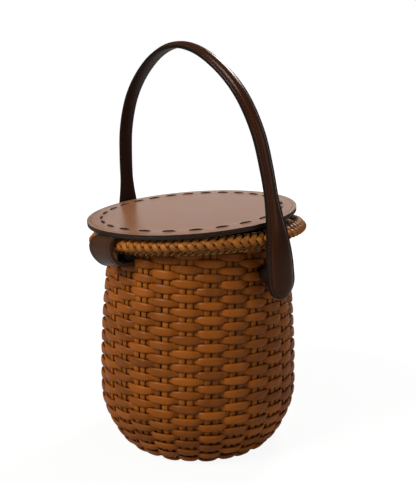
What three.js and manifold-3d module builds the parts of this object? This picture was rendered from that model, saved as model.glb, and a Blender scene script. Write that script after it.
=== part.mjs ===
// Rattan basket bag: a round basket of flat cane with a braided rim, a laced leather lid that
// hangs on a leather loop, and a leather handle that swings on two studs.
// Millimetres, +Z up. The origin is the centre of the flat underside. The handle turns about
// the X axis, and the lid's hinge loop is at -Y.

import * as THREE from 'three';
import { mergeVertices } from 'three/addons/utils/BufferGeometryUtils.js';
import Module from 'manifold-3d';

const wasm = await Module();
wasm.setup();

// Gap between pieces that touch
const GAP = 0.3;

// Basket body
const WALL_RADIUS = 100;
const WALL_THICKNESS = 6.5;
const WALL_TOP_RADIUS = 87.5;
const CORNER_HEIGHT = 54;
const CORNER_ROUNDNESS = 1.5;
const BASE_RADIUS = 72;
const BASE_PLATE_RADIUS = 58;
const BASE_THICKNESS = 6.5;
const STAKE_PAIRS = 26;
const FIRST_PAIR = THREE.MathUtils.degToRad(-47.5);
const WEAVE_DEPTH = 2.3;

// Woven rows: the top whole one's height, their pitch down the wall, and their own slant,
// which grows above the corner and falls towards a bearing
const TOP_ROW_HEIGHT = 185.5;
const LOWEST_ROW_HEIGHT = 2;
const ROW_PITCH = 6.39;
const ROW_FALL = 0.0375;
const ROW_FALL_BEARING = THREE.MathUtils.degToRad(48.3);
const ROWS_ABOVE = 6;
const TOP_RING_STEP = 0.3;

// Floats, where a strand lies out over a pair of stakes: shares of the pairs' and rows' pitch
const FLOAT_LENGTH = 0.66;
const FLOAT_HEIGHT = 0.8;

// Rim: its high side is over the +X end of the handle
const RIM_HEIGHT = 210.5;
const RIM_SLANT = THREE.MathUtils.degToRad(4.2);
const BRAID_WIDTH = 19.6;
const BRAID_HEIGHT = 13.4;
const BRAID_BITES = 52;
const BRAID_RELIEF = 1.4;
const WALL_ABOVE_BRAID_CENTRE = 4;
const TWINING_WIDTH = 4.4;
const TWINING_HEIGHT = 4.2;

// Lid
const LID_RADIUS = 103;
const LID_OVERHANG = 2.6;
const LID_TOP_THICKNESS = 2.2;
const LID_LINING_THICKNESS = 2;
const BOARD_MARGIN = 3;
const BOARD_THICKNESS = 1;
const STITCHES = 26;
const STITCH_LENGTH = 12;
const LACE_INSET = 14;
const LACE_WIDTH = 3;
const LACE_THICKNESS = 1;
const SLOT_CLEARANCE = 0.5;
const REST_CLEARANCE = 0.1;
const REST_SEARCH_STEP = 0.5;

// Hinge loop and the tab that is its end under the lid
const LOOP_WIDTH = 26;
const LOOP_THICKNESS = 2;
const LOOP_BULGE = 9.5;
const LOOP_DROP = 17.5;
const LOOP_INSIDE_RISE = 18;
const LOOP_LEAN = 5;
const TAB_LENGTH = 16;

// Handle
const HANDLE_CLEARANCE = 4.5;
const HANDLE_RISE = 208;
const HANDLE_LEAN = THREE.MathUtils.degToRad(7);
const STRAP_WIDTH = 14;
const STRAP_END_WIDTH = 32.5;
const STRAP_TAPER_START = 6;
const STRAP_TAPER_LENGTH = 69;
const STRAP_END_DROP = 4;
const STRAP_TIP = 1;
const STRAP_INNER_THICKNESS = 1.4;
const STRAP_EDGE_THICKNESS = 1.7;
const STRAP_CROWN = 2.6;
const STRAP_MARGIN = 3.2;
const STRAP_SHOULDER = 4.8;
const STRAP_SHOULDER_RISE = 0.7 * STRAP_CROWN;
const MARGIN_SHARE = 0.45;
const SHOULDER_SHARE = 0.7;
const STRAP_EDGE_BEVEL = 0.3;
const CORE_WIDTH = 5.4;
const CORE_THICKNESS = 2.2;
const CORE_BEVEL = 0.5;
const CORE_END_ABOVE_PIVOT = 26;
const CORE_END_CLEARANCE = 2;

// Pivot studs
const STUD_RADIUS = 3;
const STUD_HEAD_RADIUS = 7;
const STUD_HEAD_THICKNESS = 1.2;
const STUD_PEEN_RADIUS = 4;
const STUD_PEEN_HEIGHT = 2.4;
const SPACER_RADIUS = 10.5;
const SPACER_FOOT_RADIUS = 7;
const SPACER_FOOT_LENGTH = 3;
const SPACER_FLARE_LENGTH = 5;
const SPACER_BEVEL = 1.2;
const SPACER_RIM_CLEARANCE = 0.6;
const WASHER_RADIUS = 11;
const WASHER_THICKNESS = 3.4;
const BURR_RADIUS = 5.6;
const BURR_THICKNESS = 1.6;

// Facets
const BODY_SEGMENTS = STAKE_PAIRS * 2;
const INNER_RINGS = 8;
const ROUND_SEGMENTS = 18;
const LID_SEGMENTS = 34;
const LOOP_STATIONS = 30;
const STRAP_STATIONS = 36;
const END_STATIONS = 6;

const cane = new THREE.MeshStandardMaterial({ color: 0x9a5f28, roughness: 0.55, metalness: 0 });
const braidCane = new THREE.MeshStandardMaterial({ color: 0xb5712f, roughness: 0.55, metalness: 0 });
const leather = new THREE.MeshStandardMaterial({ color: 0x3a2319, roughness: 0.35, metalness: 0 });
const darkLeather = new THREE.MeshStandardMaterial({ color: 0x24150f, roughness: 0.5, metalness: 0 });
const board = new THREE.MeshStandardMaterial({ color: 0x8f7a5c, roughness: 0.9, metalness: 0 });
const cord = new THREE.MeshStandardMaterial({ color: 0xcbbfa5, roughness: 0.9, metalness: 0 });
const brass = new THREE.MeshStandardMaterial({ color: 0x9c7a3c, roughness: 0.35, metalness: 1 });

const part = new THREE.Group();

function addMesh(parent, name, geometry, material) {
  const mesh = new THREE.Mesh(geometry, material);
  mesh.name = name;
  parent.add(mesh);
  return mesh;
}

// Closed surfaces

function geometryFrom(points, faces) {
  const geometry = new THREE.BufferGeometry();
  const positions = points.flatMap((p) => [p.x, p.y, p.z]);
  geometry.setAttribute('position', new THREE.Float32BufferAttribute(positions, 3));
  let volume = 0;
  for (const [a, b, c] of faces) {
    volume += points[a].dot(new THREE.Vector3().crossVectors(points[b], points[c]));
  }
  const outward = volume >= 0 ? faces : faces.map(([a, b, c]) => [a, c, b]);
  geometry.setIndex(outward.flat());
  return geometry;
}

function bridge(faces, low, high, a, b) {
  faces.push([low + a, low + b, high + b]);
  faces.push([low + a, high + b, high + a]);
}

// Rings joined in order and back to the first: a tyre shape.
function closedLoft(rings) {
  const count = rings[0].length;
  const faces = [];
  for (let ring = 0; ring < rings.length; ring += 1) {
    const next = (ring + 1) % rings.length;
    for (let i = 0; i < count; i += 1) {
      bridge(faces, ring * count, next * count, i, (i + 1) % count);
    }
  }
  return geometryFrom(rings.flat(), faces);
}

// Sections joined in order, each end closed by a fan.
function cappedLoft(sections) {
  const count = sections[0].length;
  const points = sections.flat();
  const faces = [];
  for (let ring = 0; ring < sections.length - 1; ring += 1) {
    for (let i = 0; i < count; i += 1) {
      bridge(faces, ring * count, (ring + 1) * count, i, (i + 1) % count);
    }
  }
  const last = (sections.length - 1) * count;
  for (let i = 1; i < count - 1; i += 1) {
    faces.push([0, i + 1, i]);
    faces.push([last, last + i, last + i + 1]);
  }
  return geometryFrom(points, faces);
}

function toSolid(geometry) {
  const bare = geometry.clone();
  bare.deleteAttribute('normal');
  bare.deleteAttribute('uv');
  const merged = mergeVertices(bare, 1e-4);
  const mesh = new wasm.Mesh({
    numProp: 3,
    vertProperties: new Float32Array(merged.attributes.position.array),
    triVerts: new Uint32Array(merged.index.array),
  });
  return new wasm.Manifold(mesh);
}

function toGeometry(solid) {
  const mesh = solid.getMesh();
  const geometry = new THREE.BufferGeometry();
  geometry.setAttribute('position', new THREE.BufferAttribute(new Float32Array(mesh.vertProperties), 3));
  geometry.setIndex(new THREE.BufferAttribute(new Uint32Array(mesh.triVerts), 1));
  return geometry;
}

function cut(geometry, ...tools) {
  let solid = toSolid(geometry);
  for (const tool of tools) {
    solid = solid.subtract(toSolid(tool));
  }
  return toGeometry(solid);
}

// Shape of the basket body

function bodyRadius(z) {
  if (z < CORNER_HEIGHT) {
    const drop = 1 - THREE.MathUtils.clamp(z / CORNER_HEIGHT, 0, 1);
    const rise = (1 - drop ** CORNER_ROUNDNESS) ** (1 / CORNER_ROUNDNESS);
    return BASE_RADIUS + (WALL_RADIUS - BASE_RADIUS) * rise;
  }
  const share = (z - CORNER_HEIGHT) / (RIM_HEIGHT - CORNER_HEIGHT);
  return WALL_RADIUS - (WALL_RADIUS - WALL_TOP_RADIUS) * share ** 2;
}

// The slant grows from nothing at the corner to its full rise at the rim.
function slantRise(x, z) {
  const share = THREE.MathUtils.smoothstep(z, CORNER_HEIGHT, RIM_HEIGHT);
  return x * Math.tan(RIM_SLANT) * share;
}

// A ring has two points for each pair of stakes, at the ends of the float over it.
function ringAngle(i) {
  const end = i % 2 === 0 ? -FLOAT_LENGTH / 2 : FLOAT_LENGTH / 2;
  return FIRST_PAIR + (2 * Math.PI * (Math.floor(i / 2) + end)) / STAKE_PAIRS;
}

function bodyRing(radius, z) {
  return Array.from({ length: BODY_SEGMENTS }, (_, i) => {
    const angle = ringAngle(i);
    const x = radius * Math.cos(angle);
    return new THREE.Vector3(x, radius * Math.sin(angle), z + slantRise(x, z));
  });
}

const wallTop = RIM_HEIGHT + WALL_ABOVE_BRAID_CENTRE;

// Upper and lower edge of each row of floats from the top down: the row and the height.
// Below the top whole row they are measured along the profile.
function floatEdges() {
  const step = ROW_PITCH / 100;
  const tall = FLOAT_HEIGHT * ROW_PITCH;
  const edges = [];
  for (let row = -ROWS_ABOVE; row < 0; row += 1) {
    const middle = TOP_ROW_HEIGHT - row * ROW_PITCH;
    edges.push([row, middle + tall / 2], [row, middle - tall / 2]);
  }
  let row = 0;
  let upper = true;
  let left = 0;
  for (let z = TOP_ROW_HEIGHT + tall / 2; z > LOWEST_ROW_HEIGHT; z -= step) {
    if (left <= 0) {
      edges.push([row, z]);
      left += upper ? tall : ROW_PITCH - tall;
      row += upper ? 0 : 1;
      upper = !upper;
    }
    left -= Math.hypot(step, bodyRadius(z) - bodyRadius(z - step));
  }
  return edges;
}

function rowFall(z, angle) {
  return ROW_FALL * Math.max(z - CORNER_HEIGHT, 0) * Math.cos(angle - ROW_FALL_BEARING);
}

// One edge of a row: the strand lies out over every other pair of stakes, and in under the
// rest. Where the slanted row is above the wall's top, it stays just under it, and in.
function weaveRing(row, height, belowTop) {
  return Array.from({ length: BODY_SEGMENTS }, (_, i) => {
    const angle = ringAngle(i);
    const highest = wallTop + slantRise(WALL_TOP_RADIUS * Math.cos(angle), wallTop) - belowTop;
    const slanted = height - rowFall(height, angle);
    const z = Math.min(slanted, highest);
    const over = slanted < highest && Math.abs((row + Math.floor(i / 2)) % 2) === 1;
    const level = z - slantRise(bodyRadius(z) * Math.cos(angle), z);
    const radius = bodyRadius(level) - (over ? 0 : WEAVE_DEPTH);
    return new THREE.Vector3(radius * Math.cos(angle), radius * Math.sin(angle), z);
  });
}

function innerPoint(z, offset) {
  const step = 0.5;
  const slope = (bodyRadius(z + step) - bodyRadius(z)) / step;
  const length = Math.hypot(1, slope);
  return [bodyRadius(z) - offset / length, z + (offset * slope) / length];
}

// Rings of the inner face from the top down, closer together towards the foot
function innerRings(offset, lowest) {
  const rings = [];
  for (let ring = INNER_RINGS; ring > 0; ring -= 1) {
    const [radius, z] = innerPoint(wallTop * (ring / INNER_RINGS) ** 1.5, offset);
    if (z > lowest) {
      rings.push(bodyRing(radius, Math.min(z, wallTop)));
    }
  }
  return rings;
}

function wallRings(offset) {
  const rows = floatEdges().map(([row, height], i) => weaveRing(row, height, i * TOP_RING_STEP));
  const rings = [bodyRing(BASE_RADIUS, 0), ...rows.reverse()];
  rings.push(...innerRings(offset, BASE_THICKNESS + GAP));
  rings.push(bodyRing(BASE_PLATE_RADIUS, BASE_THICKNESS));
  rings.push(bodyRing(BASE_PLATE_RADIUS, 0));
  return rings;
}

// The wall with a clearance on both faces, to cut pieces that seat on it.
function wallClearance() {
  const low = RIM_HEIGHT / 2;
  const outer = [];
  for (let step = 0; step <= INNER_RINGS; step += 1) {
    const z = low + ((wallTop - low) * step) / INNER_RINGS;
    outer.push(bodyRing(bodyRadius(z) + GAP, z));
  }
  return closedLoft([...outer, ...innerRings(WALL_THICKNESS + GAP, low)]);
}

function rodAlongX(radius, from, to, y, z) {
  const rod = new THREE.CylinderGeometry(radius, radius, to - from, ROUND_SEGMENTS);
  rod.rotateZ(-Math.PI / 2);
  rod.translate((from + to) / 2, y, z);
  return rod;
}

// Rim: a closed ring of sections that follows the slant

function rimRing(sides, segments, radius, height, sectionPoint) {
  const rings = Array.from({ length: segments }, (_, i) => {
    const angle = FIRST_PAIR + (2 * Math.PI * i) / segments;
    return Array.from({ length: sides }, (_, k) => {
      const [out, up] = sectionPoint((2 * Math.PI * k) / sides, i, k);
      const x = (radius + out) * Math.cos(angle);
      const z = height + up + x * Math.tan(RIM_SLANT);
      return new THREE.Vector3(x, (radius + out) * Math.sin(angle), z);
    });
  });
  return closedLoft(rings);
}

const braidInner = WALL_TOP_RADIUS + GAP;
const braidCentre = braidInner + BRAID_WIDTH / 2;
const braidOuter = braidInner + BRAID_WIDTH;

function braidGeometry() {
  const sides = 8;
  return rimRing(sides, BRAID_BITES * 2, braidCentre, RIM_HEIGHT, (turn, i, k) => {
    const inward = Math.abs(k - sides / 2) < 2;
    const dip = (i + k) % 2 === 0 && !inward ? BRAID_RELIEF : 0;
    return [
      (BRAID_WIDTH / 2 - dip) * Math.cos(turn),
      (BRAID_HEIGHT / 2 - dip) * Math.sin(turn),
    ];
  });
}

const twiningTop = RIM_HEIGHT - BRAID_HEIGHT / 2 - GAP;
const twiningHeight = twiningTop - TWINING_HEIGHT / 2;
const twiningInner = bodyRadius(twiningTop - TWINING_HEIGHT) + GAP;

// Pivot: as high as the rim's low side lets the spacer stand

const twiningOuter = twiningInner + TWINING_WIDTH;
const lowestTwining = twiningTop - TWINING_HEIGHT - twiningOuter * Math.tan(RIM_SLANT);
const lowestBraid = RIM_HEIGHT - BRAID_HEIGHT / 2 - braidOuter * Math.tan(RIM_SLANT);
const pivotHeight = Math.min(lowestTwining - SPACER_FOOT_RADIUS, lowestBraid - SPACER_RADIUS)
  - SPACER_RIM_CLEARANCE;

function twiningGeometry() {
  return rimRing(6, BODY_SEGMENTS, twiningInner + TWINING_WIDTH / 2, twiningHeight, (turn) => [
    (TWINING_WIDTH / 2) * Math.cos(turn),
    (TWINING_HEIGHT / 2) * Math.sin(turn),
  ]);
}

// Lid: it rests on the run of lace under its tab and on the rim's rising side.
// Its group stands at the hinge line, on the lid's lower edge, with the lid towards +Y.

const hingeY = -(braidOuter + LID_OVERHANG);
const lidCentreY = hingeY + LID_RADIUS;
const laceProud = LACE_THICKNESS + GAP;
const laceRadius = LID_RADIUS - LACE_INSET;
const boardRadius = laceRadius - LACE_WIDTH / 2 - SLOT_CLEARANCE - BOARD_MARGIN;
const tabDrop = LOOP_THICKNESS + GAP;
const seatY = -braidCentre;
const seatZ = RIM_HEIGHT + BRAID_HEIGHT / 2 + GAP + laceProud + tabDrop;

// Top of the rim over a point, or nothing beside the rim
function rimTop(x, y) {
  const across = (Math.hypot(x, y) - braidCentre) / (BRAID_WIDTH / 2);
  const rise = (BRAID_HEIGHT / 2) * Math.sqrt(Math.max(1 - across ** 2, 0));
  return Math.abs(across) < 1 ? RIM_HEIGHT + rise + x * Math.tan(RIM_SLANT) : 0;
}

// The least slope at which the lining and the lace's lower turns clear the rim
function restSlope() {
  const clear = GAP + REST_CLEARANCE;
  let slope = 0;
  for (let turn = 0; turn < 720; turn += 1) {
    const angle = (Math.PI * turn) / 360;
    for (let radius = laceRadius - LACE_INSET; radius <= LID_RADIUS; radius += REST_SEARCH_STEP) {
      const x = radius * Math.cos(angle);
      const y = radius * Math.sin(angle) + lidCentreY;
      const laced = Math.abs(radius - laceRadius) < LACE_WIDTH / 2 + clear;
      const need = rimTop(x, y) + clear + (laced ? laceProud : 0) - seatZ;
      if (need > 0) {
        slope = Math.max(slope, need / (y - seatY));
      }
    }
  }
  return slope;
}

const lidAngle = Math.atan(restSlope());
const hingeZ = seatZ + (hingeY - seatY) * Math.tan(lidAngle);

const lidTopFrom = LID_LINING_THICKNESS + GAP;
const lidTopTo = lidTopFrom + LID_TOP_THICKNESS;
const slotLength = LACE_THICKNESS + 2 * SLOT_CLEARANCE;
const slotWidth = LACE_WIDTH + 2 * SLOT_CLEARANCE;

// Middle of each stitch: a lower turn of the lace, not a stitch, is over the hinge tab.
function stitchMiddle(stitch) {
  return -Math.PI / 2 + (2 * Math.PI * (stitch + 0.5)) / STITCHES;
}

function slotAngles() {
  const angles = [];
  for (let stitch = 0; stitch < STITCHES; stitch += 1) {
    const middle = stitchMiddle(stitch);
    const half = STITCH_LENGTH / 2 / laceRadius;
    angles.push(middle - half, middle + half);
  }
  return angles;
}

function slotHole(angle) {
  const along = new THREE.Vector2(-Math.sin(angle), Math.cos(angle)).multiplyScalar(slotLength / 2);
  const out = new THREE.Vector2(Math.cos(angle), Math.sin(angle));
  const near = out.clone().multiplyScalar(laceRadius - slotWidth / 2);
  const far = out.clone().multiplyScalar(laceRadius + slotWidth / 2);
  return new THREE.Path([
    near.clone().add(along),
    far.clone().add(along),
    far.clone().sub(along),
    near.clone().sub(along),
  ]);
}

// A flat piece of the lid, drawn about the lid's centre and moved to the hinge line
function lidPiece(shape, from, to) {
  const geometry = new THREE.ExtrudeGeometry(shape, {
    depth: to - from,
    bevelEnabled: false,
    curveSegments: LID_SEGMENTS,
  });
  geometry.translate(0, LID_RADIUS, from);
  return geometry;
}

function lidDisc(radius) {
  const shape = new THREE.Shape();
  shape.absarc(0, 0, radius, 0, 2 * Math.PI);
  return shape;
}

function lidTopGeometry() {
  const shape = lidDisc(LID_RADIUS);
  shape.holes = slotAngles().map(slotHole);
  return lidPiece(shape, lidTopFrom, lidTopTo);
}

const boardFrom = LID_LINING_THICKNESS - BOARD_THICKNESS;

function blockAt(xs, ys, zs) {
  const block = new THREE.BoxGeometry(xs[1] - xs[0], ys[1] - ys[0], zs[1] - zs[0]);
  block.translate((xs[0] + xs[1]) / 2, (ys[0] + ys[1]) / 2, (zs[0] + zs[1]) / 2);
  return block;
}

function liningGeometry() {
  const shape = lidDisc(LID_RADIUS);
  shape.holes = slotAngles().map(slotHole);
  const lining = lidPiece(shape, 0, LID_LINING_THICKNESS);
  const recess = lidPiece(lidDisc(boardRadius + GAP), boardFrom - GAP, lidTopFrom);
  return cut(lining, recess);
}

// The tab is the loop's end under the lining, held by the lace's turn over the hinge.
function tabGeometry() {
  const half = LOOP_WIDTH / 2;
  const from = GAP - LID_RADIUS;
  const shape = new THREE.Shape([
    new THREE.Vector2(-half, from),
    new THREE.Vector2(half, from),
    new THREE.Vector2(half, from + TAB_LENGTH),
    new THREE.Vector2(-half, from + TAB_LENGTH),
  ]);
  shape.holes = slotAngles()
    .filter((angle) => Math.abs(laceRadius * Math.cos(angle)) < half && Math.sin(angle) < 0)
    .map(slotHole);
  return lidPiece(shape, -tabDrop, -GAP);
}

// One lace, on top for a stitch and then below, through the slots of both leathers
function laceGeometry() {
  const high = lidTopTo + GAP + LACE_THICKNESS / 2;
  const low = LACE_THICKNESS / 2 - laceProud;
  const half = STITCH_LENGTH / 2;
  const route = [];
  for (let stitch = 0; stitch < STITCHES; stitch += 1) {
    const under = stitch === STITCHES - 1 ? low - tabDrop : low;
    const before = stitch === 0 ? low - tabDrop : low;
    const spots = [[-half, before], [-half, high], [half, high], [half, under]];
    for (const [along, z] of spots) {
      route.push([stitchMiddle(stitch) + along / laceRadius, z]);
    }
  }
  const place = ([angle, z], radius) => new THREE.Vector3(
    radius * Math.cos(angle), LID_RADIUS + radius * Math.sin(angle), z);
  const rings = route.map((spot, i) => {
    const before = route[(i + route.length - 1) % route.length];
    const after = route[(i + 1) % route.length];
    const backwards = place(spot, laceRadius).sub(place(before, laceRadius)).normalize();
    const forwards = place(after, laceRadius).sub(place(spot, laceRadius)).normalize();
    const mitre = 1 / Math.cos(backwards.angleTo(forwards) / 2);
    const tangent = backwards.add(forwards).normalize();
    const out = new THREE.Vector3(Math.cos(spot[0]), Math.sin(spot[0]), 0);
    const up = new THREE.Vector3().crossVectors(tangent, out).normalize();
    const centre = place(spot, laceRadius);
    return [[-1, -1], [1, -1], [1, 1], [-1, 1]].map(([u, v]) => centre.clone()
      .addScaledVector(out, (u * LACE_WIDTH) / 2)
      .addScaledVector(up, (v * mitre * LACE_THICKNESS) / 2));
  });
  return closedLoft(rings);
}

// Hinge loop: from the lid's edge it bulges out round the braid, goes through the wall
// and lies up inside it.

const loopHalf = LOOP_THICKNESS / 2;
const loopTopZ = hingeZ - GAP - loopHalf;
const loopLowZ = RIM_HEIGHT - LOOP_DROP;
const loopOuterY = -(braidOuter + LOOP_BULGE);
const loopMidZ = (loopTopZ + loopLowZ) / 2;

// The band is flat across, so it seats on the chord of the wall's inner face.
const loopInnerChord = Math.sqrt(
  (bodyRadius(loopLowZ) - WALL_THICKNESS) ** 2 - (LOOP_WIDTH / 2) ** 2);
const loopInnerY = -(loopInnerChord - 2 * GAP - loopHalf);

function loopRoute() {
  const fall = loopTopZ - loopLowZ;
  const points = [
    [hingeY - GAP, loopTopZ],
    [(hingeY + loopOuterY) / 2, loopTopZ - 0.03 * fall],
    [loopOuterY, loopLowZ + 0.62 * fall],
    [loopOuterY + 0.4 * LOOP_BULGE, loopLowZ + 0.3 * fall],
    [-braidOuter, loopLowZ + 0.14 * fall],
    [-braidCentre, loopLowZ + 0.02 * fall],
    [loopInnerY - WALL_THICKNESS, loopLowZ],
    [loopInnerY - LOOP_THICKNESS, loopLowZ],
    [loopInnerY + 0.45 * LOOP_LEAN, loopLowZ + LOOP_THICKNESS * 1.5],
    [loopInnerY + 0.7 * LOOP_LEAN, loopLowZ + LOOP_INSIDE_RISE / 2],
    [loopInnerY + LOOP_LEAN, loopLowZ + LOOP_INSIDE_RISE],
  ];
  const curve = new THREE.CatmullRomCurve3(points.map(([y, z]) => new THREE.Vector3(0, y, z)));
  return curve.getPoints(LOOP_STATIONS);
}

function loopGeometry() {
  const route = loopRoute();
  const side = new THREE.Vector3(1, 0, 0);
  const sections = route.map((point, i) => {
    const before = route[Math.max(i - 1, 0)];
    const after = route[Math.min(i + 1, route.length - 1)];
    const tangent = after.clone().sub(before).normalize();
    const normal = new THREE.Vector3().crossVectors(side, tangent);
    return [[-1, -1], [1, -1], [1, 1], [-1, 1]].map(([u, v]) => point.clone()
      .addScaledVector(side, (u * LOOP_WIDTH) / 2)
      .addScaledVector(normal, v * loopHalf));
  });
  return cappedLoft(sections);
}

// Opening in the wall for the loop
function loopSlot() {
  const half = LOOP_WIDTH / 2 + GAP;
  const outerFace = -bodyRadius(loopLowZ) - WALL_THICKNESS;
  return blockAt([-half, half], [outerFace, loopInnerY + loopHalf],
    [loopLowZ - loopHalf - 2 * GAP, loopLowZ + loopHalf + 3 * GAP]);
}

// Handle: the arch in its own plane, with the pivot line at its origin

// Shares of the spread and of the rise, from the pivot up to the crown
const ARCH_SHAPE = [
  [1, 0],
  [0.99, 0.165],
  [0.966, 0.293],
  [0.924, 0.471],
  [0.861, 0.62],
  [0.73, 0.764],
  [0.56, 0.868],
  [0.33, 0.955],
  [0.15, 0.991],
];

const handleSpread = braidOuter + HANDLE_CLEARANCE
  + (STRAP_INNER_THICKNESS + GAP + STRAP_EDGE_THICKNESS + STRAP_CROWN) / 2;

function archCurve() {
  const leg = ARCH_SHAPE.map(([across, up]) => [across * handleSpread, up * HANDLE_RISE]);
  const tail = [handleSpread, -STRAP_END_WIDTH];
  const right = [tail, ...leg];
  const left = right.map(([x, z]) => [-x, z]).reverse();
  const points = [...right, [0, HANDLE_RISE], ...left].map(([x, z]) => new THREE.Vector3(x, 0, z));
  return new THREE.CatmullRomCurve3(points, false, 'centripetal');
}

// Half the strap's width at a distance along it above the pivot
function strapHalfWidth(above) {
  const endRadius = STRAP_END_WIDTH / 2;
  if (above < -STRAP_END_DROP) {
    const down = -STRAP_END_DROP - above;
    return Math.sqrt(Math.max(endRadius ** 2 - down ** 2, STRAP_TIP ** 2));
  }
  const taperEnd = STRAP_TAPER_START + STRAP_TAPER_LENGTH;
  const share = THREE.MathUtils.smoothstep(above, STRAP_TAPER_START, taperEnd);
  return endRadius + (STRAP_WIDTH / 2 - endRadius) * share;
}

const arch = archCurve();
arch.arcLengthDivisions = 800;
const archLength = arch.getLength();
const tailLength = STRAP_END_WIDTH;
const legLength = archLength / 2 - tailLength;

// Distances above the pivot along one leg, close together on the round end
function legStations(bottom) {
  const endRadius = STRAP_END_WIDTH / 2;
  const stations = [];
  for (let i = 0; i < END_STATIONS; i += 1) {
    const turn = (i / END_STATIONS) * (Math.PI / 2);
    stations.push(-STRAP_END_DROP - Math.sqrt(endRadius ** 2 - STRAP_TIP ** 2) * Math.cos(turn));
  }
  const steps = STRAP_STATIONS / 2;
  for (let i = 0; i <= steps; i += 1) {
    stations.push(-STRAP_END_DROP + ((legLength + STRAP_END_DROP) * i) / steps);
  }
  return stations.filter((above) => above >= bottom);
}

function strapLoft(bottom, sectionAt) {
  const leg = legStations(bottom);
  const stations = [
    ...leg.map((above) => [above, (tailLength + above) / archLength]),
    ...leg.slice(0, -1).reverse().map((above) => [above, 1 - (tailLength + above) / archLength]),
  ];
  const side = new THREE.Vector3(0, 1, 0);
  const sections = stations.map(([above, share]) => {
    const centre = arch.getPointAt(share);
    const tangent = arch.getTangentAt(share);
    const out = new THREE.Vector3().crossVectors(side, tangent).normalize();
    if (out.dot(centre) < 0) {
      out.negate();
    }
    return sectionAt(strapHalfWidth(above)).map(([across, up]) => centre.clone()
      .addScaledVector(side, across)
      .addScaledVector(out, up));
  });
  return cappedLoft(sections);
}

// Offsets from the arch line, outwards: inner leather, gap, then the crowned outer leather
const innerFrom = -(STRAP_INNER_THICKNESS + GAP + STRAP_EDGE_THICKNESS + STRAP_CROWN) / 2;
const innerTo = innerFrom + STRAP_INNER_THICKNESS;
const outerFrom = innerTo + GAP;
const outerEdge = outerFrom + STRAP_EDGE_THICKNESS;
const outerCrown = outerEdge + STRAP_CROWN;

function outerSection(half) {
  const margin = Math.min(STRAP_MARGIN, MARGIN_SHARE * half);
  const shoulder = Math.min(STRAP_SHOULDER, SHOULDER_SHARE * half);
  return [
    [-half, outerFrom],
    [half, outerFrom],
    [half, outerEdge - STRAP_EDGE_BEVEL],
    [half - margin, outerEdge],
    [half - shoulder, outerEdge + STRAP_SHOULDER_RISE],
    [0, outerCrown],
    [-half + shoulder, outerEdge + STRAP_SHOULDER_RISE],
    [-half + margin, outerEdge],
    [-half, outerEdge - STRAP_EDGE_BEVEL],
  ];
}

function innerSection(half) {
  return [[-half, innerFrom], [half, innerFrom], [half, innerTo], [-half, innerTo]];
}

function coreSection(clearance) {
  const half = CORE_WIDTH / 2 + clearance;
  const top = outerFrom + CORE_THICKNESS + clearance;
  const bottom = outerFrom - clearance * 2;
  const low = clearance > 0 ? bottom : outerFrom;
  return () => [
    [-half, low],
    [half, low],
    [half, top - CORE_BEVEL],
    [half - 2 * CORE_BEVEL, top],
    [-half + 2 * CORE_BEVEL, top],
    [-half, top - CORE_BEVEL],
  ];
}

function handleOuterGeometry() {
  const whole = strapLoft(-Infinity, outerSection);
  const channel = strapLoft(CORE_END_ABOVE_PIVOT, coreSection(GAP));
  const pocketTo = handleSpread + outerFrom + STUD_HEAD_THICKNESS + GAP;
  const pockets = [-1, 1].map((way) => {
    const reach = [way * (handleSpread + innerTo), way * pocketTo].sort((a, b) => a - b);
    return rodAlongX(STUD_HEAD_RADIUS + GAP, reach[0], reach[1], 0, 0);
  });
  return cut(whole, channel, ...pockets);
}

function handleInnerGeometry() {
  const whole = strapLoft(-Infinity, innerSection);
  const bore = rodAlongX(STUD_RADIUS + GAP, -2 * handleSpread, 2 * handleSpread, 0, 0);
  return cut(whole, bore);
}

// Pivot pieces on one side: way is 1 at +X and -1 at -X

function turnedPiece(profile, way) {
  const points = profile.map(([radius, x]) => new THREE.Vector2(radius, x));
  const geometry = new THREE.LatheGeometry(points, ROUND_SEGMENTS);
  geometry.rotateZ(-Math.PI / 2);
  if (way < 0) {
    geometry.rotateY(Math.PI);
  }
  geometry.translate(0, 0, pivotHeight);
  return geometry;
}

function pivotX(way) {
  const x = way * bodyRadius(pivotHeight);
  return bodyRadius(pivotHeight - slantRise(x, pivotHeight));
}

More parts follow.
